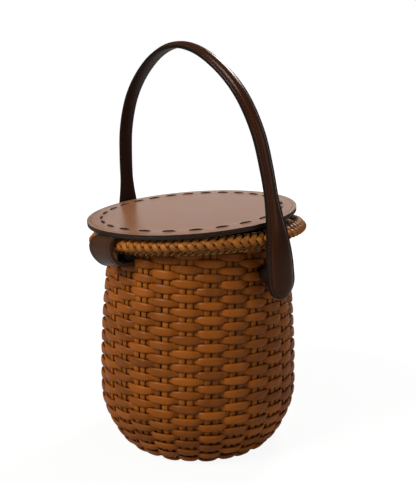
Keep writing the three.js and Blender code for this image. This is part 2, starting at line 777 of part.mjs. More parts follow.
function addPivot(side, way) {
  const outside = pivotX(way);
  const inside = outside - WALL_THICKNESS;
  const strapFace = handleSpread + innerFrom;
  const bore = STUD_RADIUS + GAP;
  const wall = wallClearance();

  const midWall = outside - WALL_THICKNESS / 2;
  const spacerTo = strapFace - GAP;
  const spacer = turnedPiece([
    [bore, midWall],
    [SPACER_FOOT_RADIUS, midWall],
    [SPACER_FOOT_RADIUS, outside + SPACER_FOOT_LENGTH],
    [SPACER_RADIUS, outside + SPACER_FOOT_LENGTH + SPACER_FLARE_LENGTH],
    [SPACER_RADIUS, spacerTo - SPACER_BEVEL],
    [SPACER_RADIUS - SPACER_BEVEL, spacerTo],
    [bore, spacerTo],
    [bore, midWall],
  ], way);
  addMesh(part, `pivot_spacer_${side}`, cut(spacer, wall), darkLeather);

  const washerFrom = inside - WASHER_THICKNESS;
  const washer = turnedPiece([
    [bore, washerFrom],
    [WASHER_RADIUS, washerFrom],
    [WASHER_RADIUS, midWall],
    [bore, midWall],
    [bore, washerFrom],
  ], way);
  addMesh(part, `inner_washer_${side}`, cut(washer, wall), leather);

  const burrTo = washerFrom - GAP;
  const burrFrom = burrTo - BURR_THICKNESS;
  addMesh(part, `stud_burr_${side}`, turnedPiece([
    [bore, burrFrom],
    [BURR_RADIUS - BURR_THICKNESS / 2, burrFrom],
    [BURR_RADIUS, burrFrom + BURR_THICKNESS / 2],
    [BURR_RADIUS, burrTo],
    [bore, burrTo],
    [bore, burrFrom],
  ], way), brass);

  const headFrom = handleSpread + outerFrom;
  addMesh(part, `pivot_stud_${side}`, turnedPiece([
    [0, burrFrom - STUD_PEEN_HEIGHT],
    [STUD_RADIUS, burrFrom - STUD_PEEN_HEIGHT],
    [STUD_PEEN_RADIUS, burrFrom - STUD_PEEN_HEIGHT * 0.6],
    [STUD_PEEN_RADIUS, burrFrom - GAP],
    [STUD_RADIUS, burrFrom - GAP],
    [STUD_RADIUS, headFrom],
    [STUD_HEAD_RADIUS, headFrom],
    [STUD_HEAD_RADIUS - STUD_HEAD_THICKNESS / 3, headFrom + STUD_HEAD_THICKNESS],
    [0, headFrom + STUD_HEAD_THICKNESS],
  ], way), brass);
}

// Basket

const baseRings = [0, BASE_THICKNESS].map((z) => bodyRing(BASE_PLATE_RADIUS - GAP, z));
addMesh(part, 'woven_base', cappedLoft(baseRings), cane);

const studBore = rodAlongX(STUD_RADIUS + GAP, -2 * WALL_RADIUS, 2 * WALL_RADIUS, 0, pivotHeight);
addMesh(part, 'woven_wall', cut(closedLoft(wallRings(WALL_THICKNESS)), studBore, loopSlot()), cane);
addMesh(part, 'rim_twining', twiningGeometry(), cane);
addMesh(part, 'rim_braid', braidGeometry(), braidCane);
addMesh(part, 'hinge_loop', loopGeometry(), leather);
addPivot('right', 1);
addPivot('left', -1);

// Lid

const lid = new THREE.Group();
lid.position.set(0, hingeY, hingeZ);
lid.rotation.x = lidAngle;
part.add(lid);
addMesh(lid, 'lid_top', lidTopGeometry(), leather);
addMesh(lid, 'lid_board', lidPiece(lidDisc(boardRadius), boardFrom, LID_LINING_THICKNESS), board);
addMesh(lid, 'lid_lining', liningGeometry(), leather);
addMesh(lid, 'lid_lace', laceGeometry(), darkLeather);
addMesh(lid, 'hinge_tab', tabGeometry(), leather);

// Handle

const handle = new THREE.Group();
handle.position.z = pivotHeight;
handle.rotation.x = HANDLE_LEAN;
part.add(handle);
addMesh(handle, 'handle_outer', handleOuterGeometry(), leather);
addMesh(handle, 'handle_inner', handleInnerGeometry(), darkLeather);
addMesh(handle, 'handle_core', strapLoft(CORE_END_ABOVE_PIVOT + CORE_END_CLEARANCE, coreSection(0)), cord);

export default part;
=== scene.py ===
# Rattan basket bag: a woven cane basket with a braided rim, a laced leather lid on a leather
# loop, and a crowned leather handle that swings on two studs. Sizes are in millimetres.
import math
import random

import bpy
import numpy as np
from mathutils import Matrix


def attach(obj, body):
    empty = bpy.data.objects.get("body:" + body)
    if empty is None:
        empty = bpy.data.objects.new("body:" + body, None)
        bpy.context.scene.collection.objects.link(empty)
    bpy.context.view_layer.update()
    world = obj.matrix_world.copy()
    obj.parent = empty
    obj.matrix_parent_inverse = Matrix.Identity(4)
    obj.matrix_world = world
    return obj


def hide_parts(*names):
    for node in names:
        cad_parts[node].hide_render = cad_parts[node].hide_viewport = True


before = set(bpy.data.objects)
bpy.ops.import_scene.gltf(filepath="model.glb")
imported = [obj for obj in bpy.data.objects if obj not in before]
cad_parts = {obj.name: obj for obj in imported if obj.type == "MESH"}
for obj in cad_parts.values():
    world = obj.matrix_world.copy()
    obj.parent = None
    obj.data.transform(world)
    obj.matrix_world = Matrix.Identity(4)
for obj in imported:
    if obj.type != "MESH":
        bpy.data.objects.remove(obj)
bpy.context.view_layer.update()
scene = bpy.context.scene
scene.view_settings.view_transform = "Standard"

# Camera: to the front right of the bag, a little above its lid.
VIEW_TURN = math.radians(48.3)
VIEW_TILT = math.radians(10.6)
VIEW_DISTANCE = 700
VIEW_SIDESTEP = 10.3
VIEW_HEIGHT = 332
VIEW_FOCUS_PIXELS = 708
PICTURE_HEIGHT_PIXELS = 483
SENSOR_WIDTH = 36


def placed(name, data):
    """A new object in the scene."""
    thing = bpy.data.objects.new(name, data)
    scene.collection.objects.link(thing)
    return thing


toward_camera = np.array([math.sin(VIEW_TURN), -math.cos(VIEW_TURN)])
camera_right = np.array([math.cos(VIEW_TURN), math.sin(VIEW_TURN)])
camera_data = bpy.data.cameras.new("photo_camera")
camera_data.sensor_width = SENSOR_WIDTH
camera_data.lens = SENSOR_WIDTH * VIEW_FOCUS_PIXELS / PICTURE_HEIGHT_PIXELS
camera_data.clip_start = 0.02
camera_data.clip_end = 50
camera = placed("photo_camera", camera_data)
spot = (toward_camera * VIEW_DISTANCE + camera_right * VIEW_SIDESTEP) / 1000
camera.location = (*spot, VIEW_HEIGHT / 1000)
camera.rotation_euler = (math.pi / 2 - VIEW_TILT, 0, VIEW_TURN)
scene.camera = camera

# Studio, in metres: a pale floor, a white card behind the bag that shows in the lid's gloss,
# and a dim room that keeps the leather dark. A soft key lamp stands at the upper left, a weak
# fill at the right, and a lamp behind draws the line of light along the handle.
ROOM_LIGHT = 0.16
ROOM_COLOUR = (1.0, 0.985, 0.96, 1)
SHEET_GREY = (0.5, 0.5, 0.5, 1)
FLOOR_HALF = 7.0
FLOOR_GLOW = 1.15
FLOOR_GLOW_SHARES = (0.0, 0.8)
SHADOW_REACH = (0.3, 0.9)
CARD_DISTANCE = 3.0
CARD_HALF_WIDTH = 1.5
CARD_TOP = 1.3
CARD_SHIFT = 0.8
CARD_GLOW = 1.0
CARD_GLOW_SHARES = (1.0, 1.0)
# Each lamp's place to the right, toward the camera and up, its width, watts and colour.
LAMPS = {
    "key_lamp": (-1.15, 0.95, 1.35, 0.7, 27, (1.0, 0.96, 0.90)),
    "fill_lamp": (1.4, 0.8, 0.75, 1.0, 3.2, (0.96, 0.98, 1.0)),
    "back_lamp": (0.6, -1.0, 1.35, 0.5, 14, (1.0, 0.99, 0.97)),
}
LAMP_AIM_HEIGHT = 0.16


def new_node(tree, kind, values=(), **settings):
    """A shader node whose sockets are set to values or fed by other nodes' outputs."""
    node = tree.nodes.new("ShaderNode" + kind)
    for setting, choice in settings.items():
        setattr(node, setting, choice)
    for label, value in dict(values).items():
        if isinstance(value, bpy.types.NodeSocket):
            tree.links.new(value, node.inputs[label])
        else:
            node.inputs[label].default_value = value
    return node


world = bpy.data.worlds.new("studio_room")
scene.world = world
world.use_nodes = True
tree = world.node_tree
tree.nodes.clear()
path = new_node(tree, "LightPath")
backdrop = new_node(tree, "Background", {"Color": (1, 1, 1, 1)})
room = new_node(tree, "Background", {"Color": ROOM_COLOUR, "Strength": ROOM_LIGHT})
either = new_node(tree, "MixShader", {
    "Fac": path.outputs["Is Camera Ray"], 1: room.outputs[0], 2: backdrop.outputs[0]})
new_node(tree, "OutputWorld", {"Surface": either.outputs[0]})

for name, (right, toward, up, size, watts, colour) in LAMPS.items():
    data = bpy.data.lights.new(name, "AREA")
    data.size = size
    data.energy = watts
    data.color = colour
    lamp = placed(name, data)
    lamp.location = (*(camera_right * right + toward_camera * toward), up)
    aim = lamp.location.copy()
    aim.z -= LAMP_AIM_HEIGHT
    lamp.rotation_euler = aim.to_track_quat("Z", "Y").to_euler()


def studio_sheet(name, corners, glow, shares):
    """A flat sheet of the studio, part matte and part glow. The glow has one share for all
    that isn't the camera, and one for the camera, which grows to the whole past the shadow."""
    mesh = bpy.data.meshes.new(name)
    mesh.from_pydata(corners, [], [(0, 1, 2, 3)])
    material = bpy.data.materials.new(name)
    material.use_nodes = True
    tree = material.node_tree
    tree.nodes.clear()
    matte = new_node(tree, "BsdfDiffuse", {"Color": SHEET_GREY})
    light = new_node(tree, "Emission", {"Strength": glow})
    path = new_node(tree, "LightPath")
    place = new_node(tree, "TexCoord")
    distance = new_node(tree, "VectorMath", {0: place.outputs["Object"]}, operation="LENGTH")
    fade = new_node(tree, "MapRange", {
        "Value": distance.outputs["Value"], "From Min": SHADOW_REACH[0],
        "From Max": SHADOW_REACH[1], "To Min": shares[1]})
    weight = new_node(tree, "MapRange", {
        "Value": path.outputs["Is Camera Ray"], "To Min": shares[0],
        "To Max": fade.outputs["Result"]})
    either = new_node(tree, "MixShader", {
        "Fac": weight.outputs["Result"], 1: matte.outputs[0], 2: light.outputs[0]})
    new_node(tree, "OutputMaterial", {"Surface": either.outputs[0]})
    mesh.materials.append(material)
    sheet = placed(name, mesh)


corners = [(x * FLOOR_HALF, y * FLOOR_HALF, 0) for x, y in ((-1, -1), (1, -1), (1, 1), (-1, 1))]
studio_sheet("floor", corners, FLOOR_GLOW, FLOOR_GLOW_SHARES)
middle = -toward_camera * CARD_DISTANCE + camera_right * CARD_SHIFT
left, right = middle - camera_right * CARD_HALF_WIDTH, middle + camera_right * CARD_HALF_WIDTH
corners = [(*left, 0), (*right, 0), (*right, CARD_TOP), (*left, CARD_TOP)]
studio_sheet("card", corners, CARD_GLOW, CARD_GLOW_SHARES)

# Woven base: a round mat of flat cane inside the foot, strands wound over and under spokes.
# The spokes are the stakes' own ends, which turn up round the corner into the wall. Every
# second one starts partway out, where there is room for it.
STAKE_PAIRS = 26
FIRST_PAIR = math.radians(-47.5)
BASE_EDGE = 72.5
BASE_LEVEL = 3.2
BASE_STRAND_WIDTH = 6.0
BASE_STRAND_THICKNESS = 1.7
BASE_SPACING = 5.7
BASE_SWING = 1.2
BASE_HOLE = 9.0
SHORT_SPOKE_FROM = 32.25
BASE_CANE_LIGHT = (0.24, 0.075, 0.009)
BASE_CANE_DARK = (0.08, 0.022, 0.003)
MAP_OFFSET = 0.37
STRAIGHT_UP = np.array([[0, 0, 1.0]])
dice = random.Random(11)


def around(angle, radius=1.0, level=0.0):
    """Points or directions round the bag's axis."""
    x, y = radius * np.cos(angle), radius * np.sin(angle)
    return np.stack(np.broadcast_arrays(x, y, level), axis=-1)


def oval(width, thickness, sides, squareness=0.75):
    """Section of a flat cane: places across it and out of it, going round."""
    turn = np.arange(sides) / sides * 2 * math.pi
    across = np.sign(np.cos(turn)) * np.abs(np.cos(turn)) ** squareness * width / 2
    out = np.sign(np.sin(turn)) * np.abs(np.sin(turn)) ** squareness * thickness / 2
    return across, out


def strand(centre, wide, out, across, depth):
    """Points of a strand: its centre line, its wide and outward directions, its section."""
    across, depth = across[..., None], depth[..., None]
    return centre[:, None, :] + wide[:, None, :] * across + out[:, None, :] * depth


def loft(name, bands, material, tones=None, closed=False, open_section=False, capped=False):
    """A smooth piece through bands of points, each band stations by points of a section.
    Its map runs along a band in metres and once round its section, and starts at another
    place for each band, so that no two strands show the same streaks."""
    points, faces, maps, shades = [], [], [], []
    start = 0
    for index, band in enumerate(bands):
        stations, sides = band.shape[:2]
        points.append(band.reshape(-1, 3) / 1000)
        tone = np.zeros(stations) if tones is None else np.broadcast_to(tones[index], stations)
        shades.append(np.repeat(tone, sides))
        steps = np.linalg.norm(np.diff(band.mean(axis=1), axis=0), axis=1) / 1000
        walked = np.concatenate([[0], np.cumsum(steps), [steps.sum() + steps[-1]]])
        along = index * MAP_OFFSET + walked
        for i in range(stations if closed else stations - 1):
            a, b = start + i * sides, start + (i + 1) % stations * sides
            here, ahead = along[i], along[i + 1]
            for k in range(sides - 1 if open_section else sides):
                m = (k + 1) % sides
                faces.append((a + k, a + m, b + m, b + k))
                low, high = k / sides, (k + 1) / sides
                maps.extend(((here, low), (here, high), (ahead, high), (ahead, low)))
        if capped:
            for ring, order in ((0, range(sides - 1, -1, -1)), (stations - 1, range(sides))):
                faces.append(tuple(start + ring * sides + k for k in order))
                maps.extend([(along[ring], 0.5)] * sides)
        start += stations * sides
    mesh = bpy.data.meshes.new(name)
    mesh.from_pydata(np.concatenate(points).tolist(), [], faces)
    uv_map = mesh.uv_layers.new(name="UVMap")
    uv_map.data.foreach_set("uv", np.asarray(maps, np.float32).ravel())
    tone_values = mesh.attributes.new("tone", "FLOAT", "POINT")
    tone_values.data.foreach_set("value", np.concatenate(shades).astype(np.float32))
    mesh.polygons.foreach_set("use_smooth", np.ones(len(mesh.polygons), bool))
    mesh.materials.append(material)
    mesh.update()
    return placed(name, mesh)


def new_group(name, values):
    """A shader group with its inputs and their first values, and its input and output nodes.
    It puts out a colour, a roughness and a height."""
    group = bpy.data.node_groups.new(name, "ShaderNodeTree")
    for label, value in values.items():
        kind = "NodeSocketColor" if isinstance(value, tuple) else "NodeSocketFloat"
        group.interface.new_socket(label, in_out="INPUT", socket_type=kind).default_value = value
    for label, kind in (("Color", "Color"), ("Roughness", "Float"), ("Height", "Float")):
        group.interface.new_socket(label, in_out="OUTPUT", socket_type="NodeSocket" + kind)
    return group, group.nodes.new("NodeGroupInput"), group.nodes.new("NodeGroupOutput")


def put_out(group, made, colour, roughness, height):
    """Feed a shader group's three outputs."""
    for label, source in (("Color", colour), ("Roughness", roughness), ("Height", height)):
        group.links.new(source, made.inputs[label])


def maths(tree, operation, first, second=0.0):
    """The output of a Math node on two sockets or plain numbers."""
    return new_node(tree, "Math", {0: first, 1: second}, operation=operation).outputs[0]


def noise(tree, scale, detail):
    """Soft noise over a piece, with so many waves to the metre."""
    place = new_node(tree, "TexCoord")
    return new_node(tree, "TexNoise", {
        "Vector": place.outputs["Object"], "Scale": scale, "Detail": detail}).outputs["Fac"]


# Cane fibre and edge shade: fine streaks along each strand, a tone for each float, slow
# blotches, and painted shade as a darker line along both edges, where the strands meet.
FIBRES_PER_METRE = 55
FIBRES_ROUND = 16
BLOTCH_SHARE = 0.5
EDGE_SHADE_DARKNESS = -0.34
DARKEST_SUM = -0.6
LIGHTEST_SUM = 0.45
CANE_ROUGHNESS = (0.28, 0.55)

group, given, made = new_group("cane_fibre_and_edge_shade", {
    "Light": (0.4, 0.15, 0.04, 1), "Dark": (0.12, 0.04, 0.01, 1), "Tone Spread": 0.3,
    "Streaks": 0.4})
tone = new_node(group, "Attribute", attribute_name="tone")
strand_map = new_node(group, "UVMap", uv_map="UVMap")
stretch = new_node(group, "Mapping", {
    "Vector": strand_map.outputs["UV"], "Scale": (FIBRES_PER_METRE, FIBRES_ROUND, 1)})
fibre = new_node(group, "TexNoise", {
    "Vector": stretch.outputs["Vector"], "Scale": 1.0, "Detail": 5, "Roughness": 0.62})
spread = maths(group, "MULTIPLY", tone.outputs["Fac"], given.outputs["Tone Spread"])
streak = maths(group, "SUBTRACT", fibre.outputs["Fac"], 0.5)
streak = maths(group, "MULTIPLY", streak, given.outputs["Streaks"])
slow = maths(group, "SUBTRACT", noise(group, scale=70, detail=3), 0.5)
slow = maths(group, "MULTIPLY", slow, BLOTCH_SHARE)
# Painted shade: each strand is darker along both its edges, where it meets its neighbours.
round_it = new_node(group, "SeparateXYZ", {"Vector": strand_map.outputs["UV"]})
twice_round = maths(group, "MULTIPLY", round_it.outputs["Y"], 4 * math.pi)
edge_shade_share = maths(group, "MAXIMUM", maths(group, "COSINE", twice_round), 0.0)
edge = maths(group, "MULTIPLY", maths(group, "POWER", edge_shade_share, 2.0), EDGE_SHADE_DARKNESS)
total = maths(group, "ADD", maths(group, "ADD", spread, streak), maths(group, "ADD", slow, edge))
lightness = new_node(group, "MapRange", {
    "Value": total, "From Min": DARKEST_SUM, "From Max": LIGHTEST_SUM})
blend = new_node(group, "Mix", {
    "Factor": lightness.outputs["Result"], "A": given.outputs["Dark"],
    "B": given.outputs["Light"]}, data_type="RGBA")
gloss = new_node(group, "MapRange", {
    "Value": fibre.outputs["Fac"], "To Min": CANE_ROUGHNESS[0], "To Max": CANE_ROUGHNESS[1]})
put_out(group, made, blend.outputs["Result"], gloss.outputs["Result"], fibre.outputs["Fac"])


def finish_from(name, effect_name, values, ior, bump, bump_depth):
    """A material whose colour, roughness and relief come from one of the shader groups."""
    material = bpy.data.materials.new(name)
    material.use_nodes = True
    tree = material.node_tree
    shader = tree.nodes["Principled BSDF"]
    shader.inputs["IOR"].default_value = ior
    values = {label: (*value, 1) if isinstance(value, tuple) else value
              for label, value in values.items()}
    effect = new_node(tree, "Group", values, node_tree=bpy.data.node_groups[effect_name],
                      name="effect")
    relief = new_node(tree, "Bump", {
        "Strength": bump, "Distance": bump_depth, "Height": effect.outputs["Height"]},
        name="relief")
    tree.links.new(effect.outputs["Color"], shader.inputs["Base Color"])
    tree.links.new(effect.outputs["Roughness"], shader.inputs["Roughness"])
    tree.links.new(relief.outputs["Normal"], shader.inputs["Normal"])
    return material


def cane_finish(name, light, dark, tone_spread=0.3, streaks=0.4):
    """Varnished cane between two tones."""
    values = {"Light": light, "Dark": dark, "Tone Spread": tone_spread, "Streaks": streaks}
    return finish_from(name, "cane_fibre_and_edge_shade", values, ior=1.28, bump=0.45, bump_depth=0.0003)


bands, tones = [], []
across, depth = oval(BASE_STRAND_WIDTH, BASE_STRAND_THICKNESS, 8)
for ring in range(int((BASE_EDGE - BASE_HOLE) / BASE_SPACING) + 1):
    radius = BASE_EDGE - ring * BASE_SPACING
    spokes = STAKE_PAIRS if radius > BASE_EDGE / 2 else STAKE_PAIRS // 2 + 1
    angle = np.linspace(0, 2 * math.pi, spokes * 8 + 1) + FIRST_PAIR
    swing = np.cos(spokes / 2 * (angle - FIRST_PAIR) + ring * math.pi)
    turned_up = max(radius - BASE_EDGE + BASE_SPACING, 0) / BASE_SPACING
    level = BASE_LEVEL - BASE_SWING * swing + turned_up
    centre = around(angle, radius, level)
    bands.append(strand(centre, around(angle), STRAIGHT_UP, across, depth))
    tones.append(dice.uniform(-1, 1))
for spoke in range(STAKE_PAIRS):
    angle = FIRST_PAIR + spoke * 2 * math.pi / STAKE_PAIRS
    reach = np.linspace(SHORT_SPOKE_FROM if spoke % 2 else 0, BASE_EDGE, 24)
    centre = around(angle, reach, BASE_LEVEL)
    sideways = np.array([[-math.sin(angle), math.cos(angle), 0]])
    bands.append(strand(centre, sideways, STRAIGHT_UP, across, depth))
    tones.append(dice.uniform(-1, 1))
base_cane = cane_finish("base_cane", BASE_CANE_LIGHT, BASE_CANE_DARK)
base = loft("base_mat", bands, base_cane, tones)
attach(base, "basket")
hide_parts("woven_base")

# Weave core: the middle of the mat and the wall, where the real strands are packed too
# closely to see through. One thin sheet stands for it, painted dark for the shade in there,
# between the outer and inner floats. It has the wall's shape: a round foot, a belly and a
# slanted rim that swells at the back.
WALL_RADIUS = 100.0
WALL_TOP_RADIUS = 87.5
FOOT_RADIUS = 72.0
CORNER_HEIGHT = 54.0
CORNER_ROUNDNESS = 1.5
RIM_HEIGHT = 210.5
RIM_SLANT = math.tan(math.radians(4.2))
RIM_SWELL = 4.0
SWELL_BEARING = math.radians(60)
SWELL_REACH = math.radians(75)
CORE_DEPTH = 4.8
CORE_THICKNESS = 0.4
CORE_FROM = 3.2
CORE_FLOOR_MARGIN = 2
CORE_SHADE_BLACK = (0.02, 0.006, 0.002)


def slant_rise(x, z):
    """Rise of the rim's slant over a point, growing from the corner up."""
    share = np.clip((z - CORNER_HEIGHT) / (RIM_HEIGHT - CORNER_HEIGHT), 0, 1)
    return x * RIM_SLANT * share * share * (3 - 2 * share)


def rim_level(angle, radius):
    """Height of the rim's middle line: its slant, and the swell at the back."""
    turn = np.abs((angle - SWELL_BEARING + math.pi) % (2 * math.pi) - math.pi)
    swell = 0.5 + 0.5 * np.cos(math.pi * np.clip(turn / SWELL_REACH, 0, 1))
    return RIM_HEIGHT + radius * np.cos(angle) * RIM_SLANT + RIM_SWELL * swell


def body_radius(z):
    """Outside of the wall, on the floats, at a height before the slant."""
    z = np.asarray(z, float)
    drop = 1 - np.clip(z / CORNER_HEIGHT, 0, 1)
    foot = (1 - drop ** CORNER_ROUNDNESS) ** (1 / CORNER_ROUNDNESS)
    share = (z - CORNER_HEIGHT) / (RIM_HEIGHT - CORNER_HEIGHT)
    return np.where(z < CORNER_HEIGHT, FOOT_RADIUS + (WALL_RADIUS - FOOT_RADIUS) * foot,
                    WALL_RADIUS - (WALL_RADIUS - WALL_TOP_RADIUS) * share ** 2)


def wall_frame(angle, z, inset):
    """Centre, upward and outward directions at places inside the wall's outside."""
    level = z - slant_rise(body_radius(z) * np.cos(angle), z)
    step = 0.4
    rise = body_radius(level + step) - body_radius(level - step)
    lean, up = rise / np.hypot(rise, 2 * step), 2 * step / np.hypot(rise, 2 * step)
    centre = around(angle, body_radius(level) - inset * up, z + inset * lean)
    return centre, around(angle, lean, up), around(angle, up, -lean)


stations = []
for angle in np.linspace(0, 2 * math.pi, 105):
    z = np.linspace(CORE_FROM, float(rim_level(angle, WALL_TOP_RADIUS)), 60)
    floor_edge = body_radius(CORE_FROM) - CORE_DEPTH - CORE_FLOOR_MARGIN
    floor = around(angle, np.linspace(BASE_HOLE, floor_edge, 12), BASE_LEVEL)
    outer = np.concatenate([floor, wall_frame(angle, z, CORE_DEPTH)[0]])
    inner = np.concatenate([floor + (0, 0, CORE_THICKNESS),
                            wall_frame(angle, z, CORE_DEPTH + CORE_THICKNESS)[0]])
    stations.append(np.concatenate([outer, inner[::-1]]))
# The core is painted nearly black, for the shade deep inside the weave.
core_shade_cane = cane_finish("core_shade_cane", BASE_CANE_DARK, CORE_SHADE_BLACK)
core = loft("weave_core", [np.array(stations)], core_shade_cane)
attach(core, "basket")

# Wall, stakes: pairs of flat cane that stand inside the floats and show between them. They
# turn up from the base, lean out to the corner and in to the rim, and end in the braid. The
# pair at the hinge loop is cut short under the band's way through the wall.
STAKE_WIDTH = 6.1
STAKE_THICKNESS = 2.0
STAKE_SPACING = 7.4
STAKE_NARROWEST = 0.78
STAKE_DEPTH = 3.5
STAKE_SWAY = 0.35
STAKE_FOOT = 4.5
LOOP_PASSAGE = (math.radians(-97.5), math.radians(-82.5))
LOOP_PASSAGE_FROM = 187.0
STAKE_LIGHT = (0.40, 0.120, 0.011)
STAKE_DARK = (0.11, 0.030, 0.003)
TOP_ROW_HEIGHT = 185.5
LOWEST_ROW = 0.5
ROW_PITCH = 6.39
ROW_FALL = 0.0375
ROW_FALL_BEARING = math.radians(48.3)
ROWS_ABOVE = 6


def row_fall(z, angle):
    """How far a row lies under its level, on the side toward which the rows fall."""
    return ROW_FALL * np.clip(z - CORNER_HEIGHT, 0, None) * np.cos(angle - ROW_FALL_BEARING)


def walk_down():
    """Heights of the rows from the top whole one down, a pitch apart along the profile."""
    step = 0.05
    z = np.arange(TOP_ROW_HEIGHT, LOWEST_ROW, -step)
    walked = np.concatenate([[0], np.cumsum(np.hypot(step, np.diff(body_radius(z))))])
    return np.interp(np.arange(0, walked[-1], ROW_PITCH), walked, z)


row_heights = {row: float(z) for row, z in enumerate(walk_down())}
for row in range(1, ROWS_ABOVE + 1):
    row_heights[-row] = TOP_ROW_HEIGHT + row * ROW_PITCH
rows_up = sorted(row_heights, reverse=True)
bands, tones = [], []
across, depth = oval(STAKE_WIDTH, STAKE_THICKNESS, 8)
for pair in range(STAKE_PAIRS):
    middle = FIRST_PAIR + pair * 2 * math.pi / STAKE_PAIRS
    top = float(rim_level(middle, WALL_TOP_RADIUS))
    if LOOP_PASSAGE[0] < middle % (2 * math.pi) - 2 * math.pi < LOOP_PASSAGE[1]:
        top = LOOP_PASSAGE_FROM
    z = np.linspace(STAKE_FOOT, top, 130)
    row = np.interp(z + row_fall(z, middle), [row_heights[r] for r in rows_up], rows_up)
    sway = STAKE_SWAY * np.cos(math.pi * (row + pair + 1))
    narrow = np.clip(body_radius(z) / WALL_RADIUS, STAKE_NARROWEST, 1)
    for side in (-1, 1):
        angle = middle + side * STAKE_SPACING * narrow / 2 / body_radius(z)
        centre, upward, outward = wall_frame(angle, z, STAKE_DEPTH + sway)
        sideways = np.array([[-math.sin(middle), math.cos(middle), 0]])
        bands.append(strand(centre, sideways, outward, narrow[:, None] * across, depth))
        tones.append(dice.uniform(-1, 1))
stake_cane = cane_finish("stake_cane", STAKE_LIGHT, STAKE_DARK)
stakes = loft("wall_stakes", bands, stake_cane, tones, capped=True)
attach(stakes, "basket")

# Wall, weavers: rows of flat oval cane, each over one pair of stakes and under the next, so
# the floats of neighbouring rows alternate. The top rows run out under the slanted braid.
WEAVER_HEIGHT = 8.4
WEAVER_THICKNESS = 2.6
WEAVER_PINCH = 0.78
WEAVER_SWING = 2.1
WEAVER_PROUD = 0.15
FLOAT_SQUARENESS = 1.7
FLOAT_LIFTS = (-0.35, 0.35)
FLOAT_PROUDNESS = (-0.3, 0.3)
FLOAT_HEIGHTS = (0.93, 1.05)
WEAVER_LIGHT = (0.40, 0.109, 0.008)
WEAVER_DARK = (0.10, 0.025, 0.002)
ROW_END_IN_BRAID = 1.5
ROWS_OPEN_AT_LOOP = (-2, -1)


def unit(vectors):
    """Vectors made one long."""
    return vectors / np.linalg.norm(vectors, axis=-1, keepdims=True)


bands, tones = [], []
angle = np.arange(STAKE_PAIRS * 10) / (STAKE_PAIRS * 10) * 2 * math.pi + FIRST_PAIR
pair = np.round((angle - FIRST_PAIR) / (2 * math.pi) * STAKE_PAIRS).astype(int) % STAKE_PAIRS
across, depth = oval(1, WEAVER_THICKNESS, 10)
for row in rows_up:
    z = row_heights[row] - row_fall(row_heights[row], angle)
    wave = (1 if row % 2 else -1) * np.cos(STAKE_PAIRS / 2 * (angle - FIRST_PAIR))
    swing = np.tanh(FLOAT_SQUARENESS * wave) / math.tanh(FLOAT_SQUARENESS)
    ranges = (FLOAT_LIFTS, FLOAT_PROUDNESS, FLOAT_HEIGHTS, (-1, 1))
    lift, proud, tall, shade = np.array(
        [[dice.uniform(*limits) for limits in ranges] for _ in range(STAKE_PAIRS)]).T
    over = np.clip(swing, 0, 1)
    inset = WEAVER_THICKNESS / 2 + WEAVER_SWING * (1 - swing)
    inset = inset - (WEAVER_PROUD + proud[pair]) * over
    centre, upward, outward = wall_frame(angle, z + lift[pair] * over, inset)
    along = unit(np.roll(centre, -1, axis=0) - np.roll(centre, 1, axis=0))
    face = unit(np.cross(along, upward))
    fullness = WEAVER_PINCH + (1 - WEAVER_PINCH) * np.abs(swing) ** 1.5
    height = WEAVER_HEIGHT * fullness * tall[pair]
    band = strand(centre, upward, face, height[:, None] * across, depth)
    band[..., 2] = np.maximum(band[..., 2], 0)
    kept = z < rim_level(angle, WALL_TOP_RADIUS) + ROW_END_IN_BRAID
    if row in ROWS_OPEN_AT_LOOP:
        bearing = angle % (2 * math.pi) - 2 * math.pi
        kept &= (bearing < LOOP_PASSAGE[0]) | (bearing > LOOP_PASSAGE[1])
    # A whole row closes on itself. One that meets the braid or the loop's way in is cut there.
    if kept.any():
        first = 0 if kept.all() else np.flatnonzero(kept & ~np.roll(kept, 1))[0]
        order = (first + np.arange(len(kept) + kept.all())) % len(kept)
        order = order[kept[order]]
        for run in np.split(order, np.where(np.diff(order) % len(kept) != 1)[0] + 1):
            if len(run) > 2:
                bands.append(band[run])
                tones.append(shade[pair[run]])
weaver_cane = cane_finish("weaver_cane", WEAVER_LIGHT, WEAVER_DARK, tone_spread=0.24)
weavers = loft("wall_weavers", bands, weaver_cane, tones)
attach(weavers, "basket")
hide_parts("woven_wall")

# Twined row: two thin strands twisted round each other under the braid, which hold the
# stakes evenly spaced. One strand is painted light and the other dark, for the lit beads and
# the shade between them.
TWINE_RADIUS = 91.3
TWINE_DROP = 8.2
TWINE_STRAND = 1.9
TWINE_AMPLITUDE = 1.1
TWISTS = 92
TWINE_LIGHT = (0.50, 0.26, 0.10)
TWINE_DARK = (0.05, 0.017, 0.004)
# The two strands' tones: one painted lit, the other painted in shade.
TWINE_LIT_AND_SHADED_TONES = (0.9, -0.7)

bands = []
angle = np.linspace(0, 2 * math.pi, TWISTS * 12 + 1)
across, depth = oval(TWINE_STRAND, TWINE_STRAND, 8, 1.0)
for turn in (0, math.pi):
    twist = angle * TWISTS + turn
    radius = TWINE_RADIUS + TWINE_AMPLITUDE * np.cos(twist)
    level = rim_level(angle, radius) - TWINE_DROP + TWINE_AMPLITUDE * np.sin(twist)
    centre = around(angle, radius, level)
    bands.append(strand(centre, STRAIGHT_UP, around(angle), across, depth))
twine_cane = cane_finish("twine_cane", TWINE_LIGHT, TWINE_DARK, tone_spread=0.45, streaks=0.5)
twine = loft("rim_twine", bands, twine_cane, TWINE_LIT_AND_SHADED_TONES)
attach(twine, "basket")
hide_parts("rim_twining")

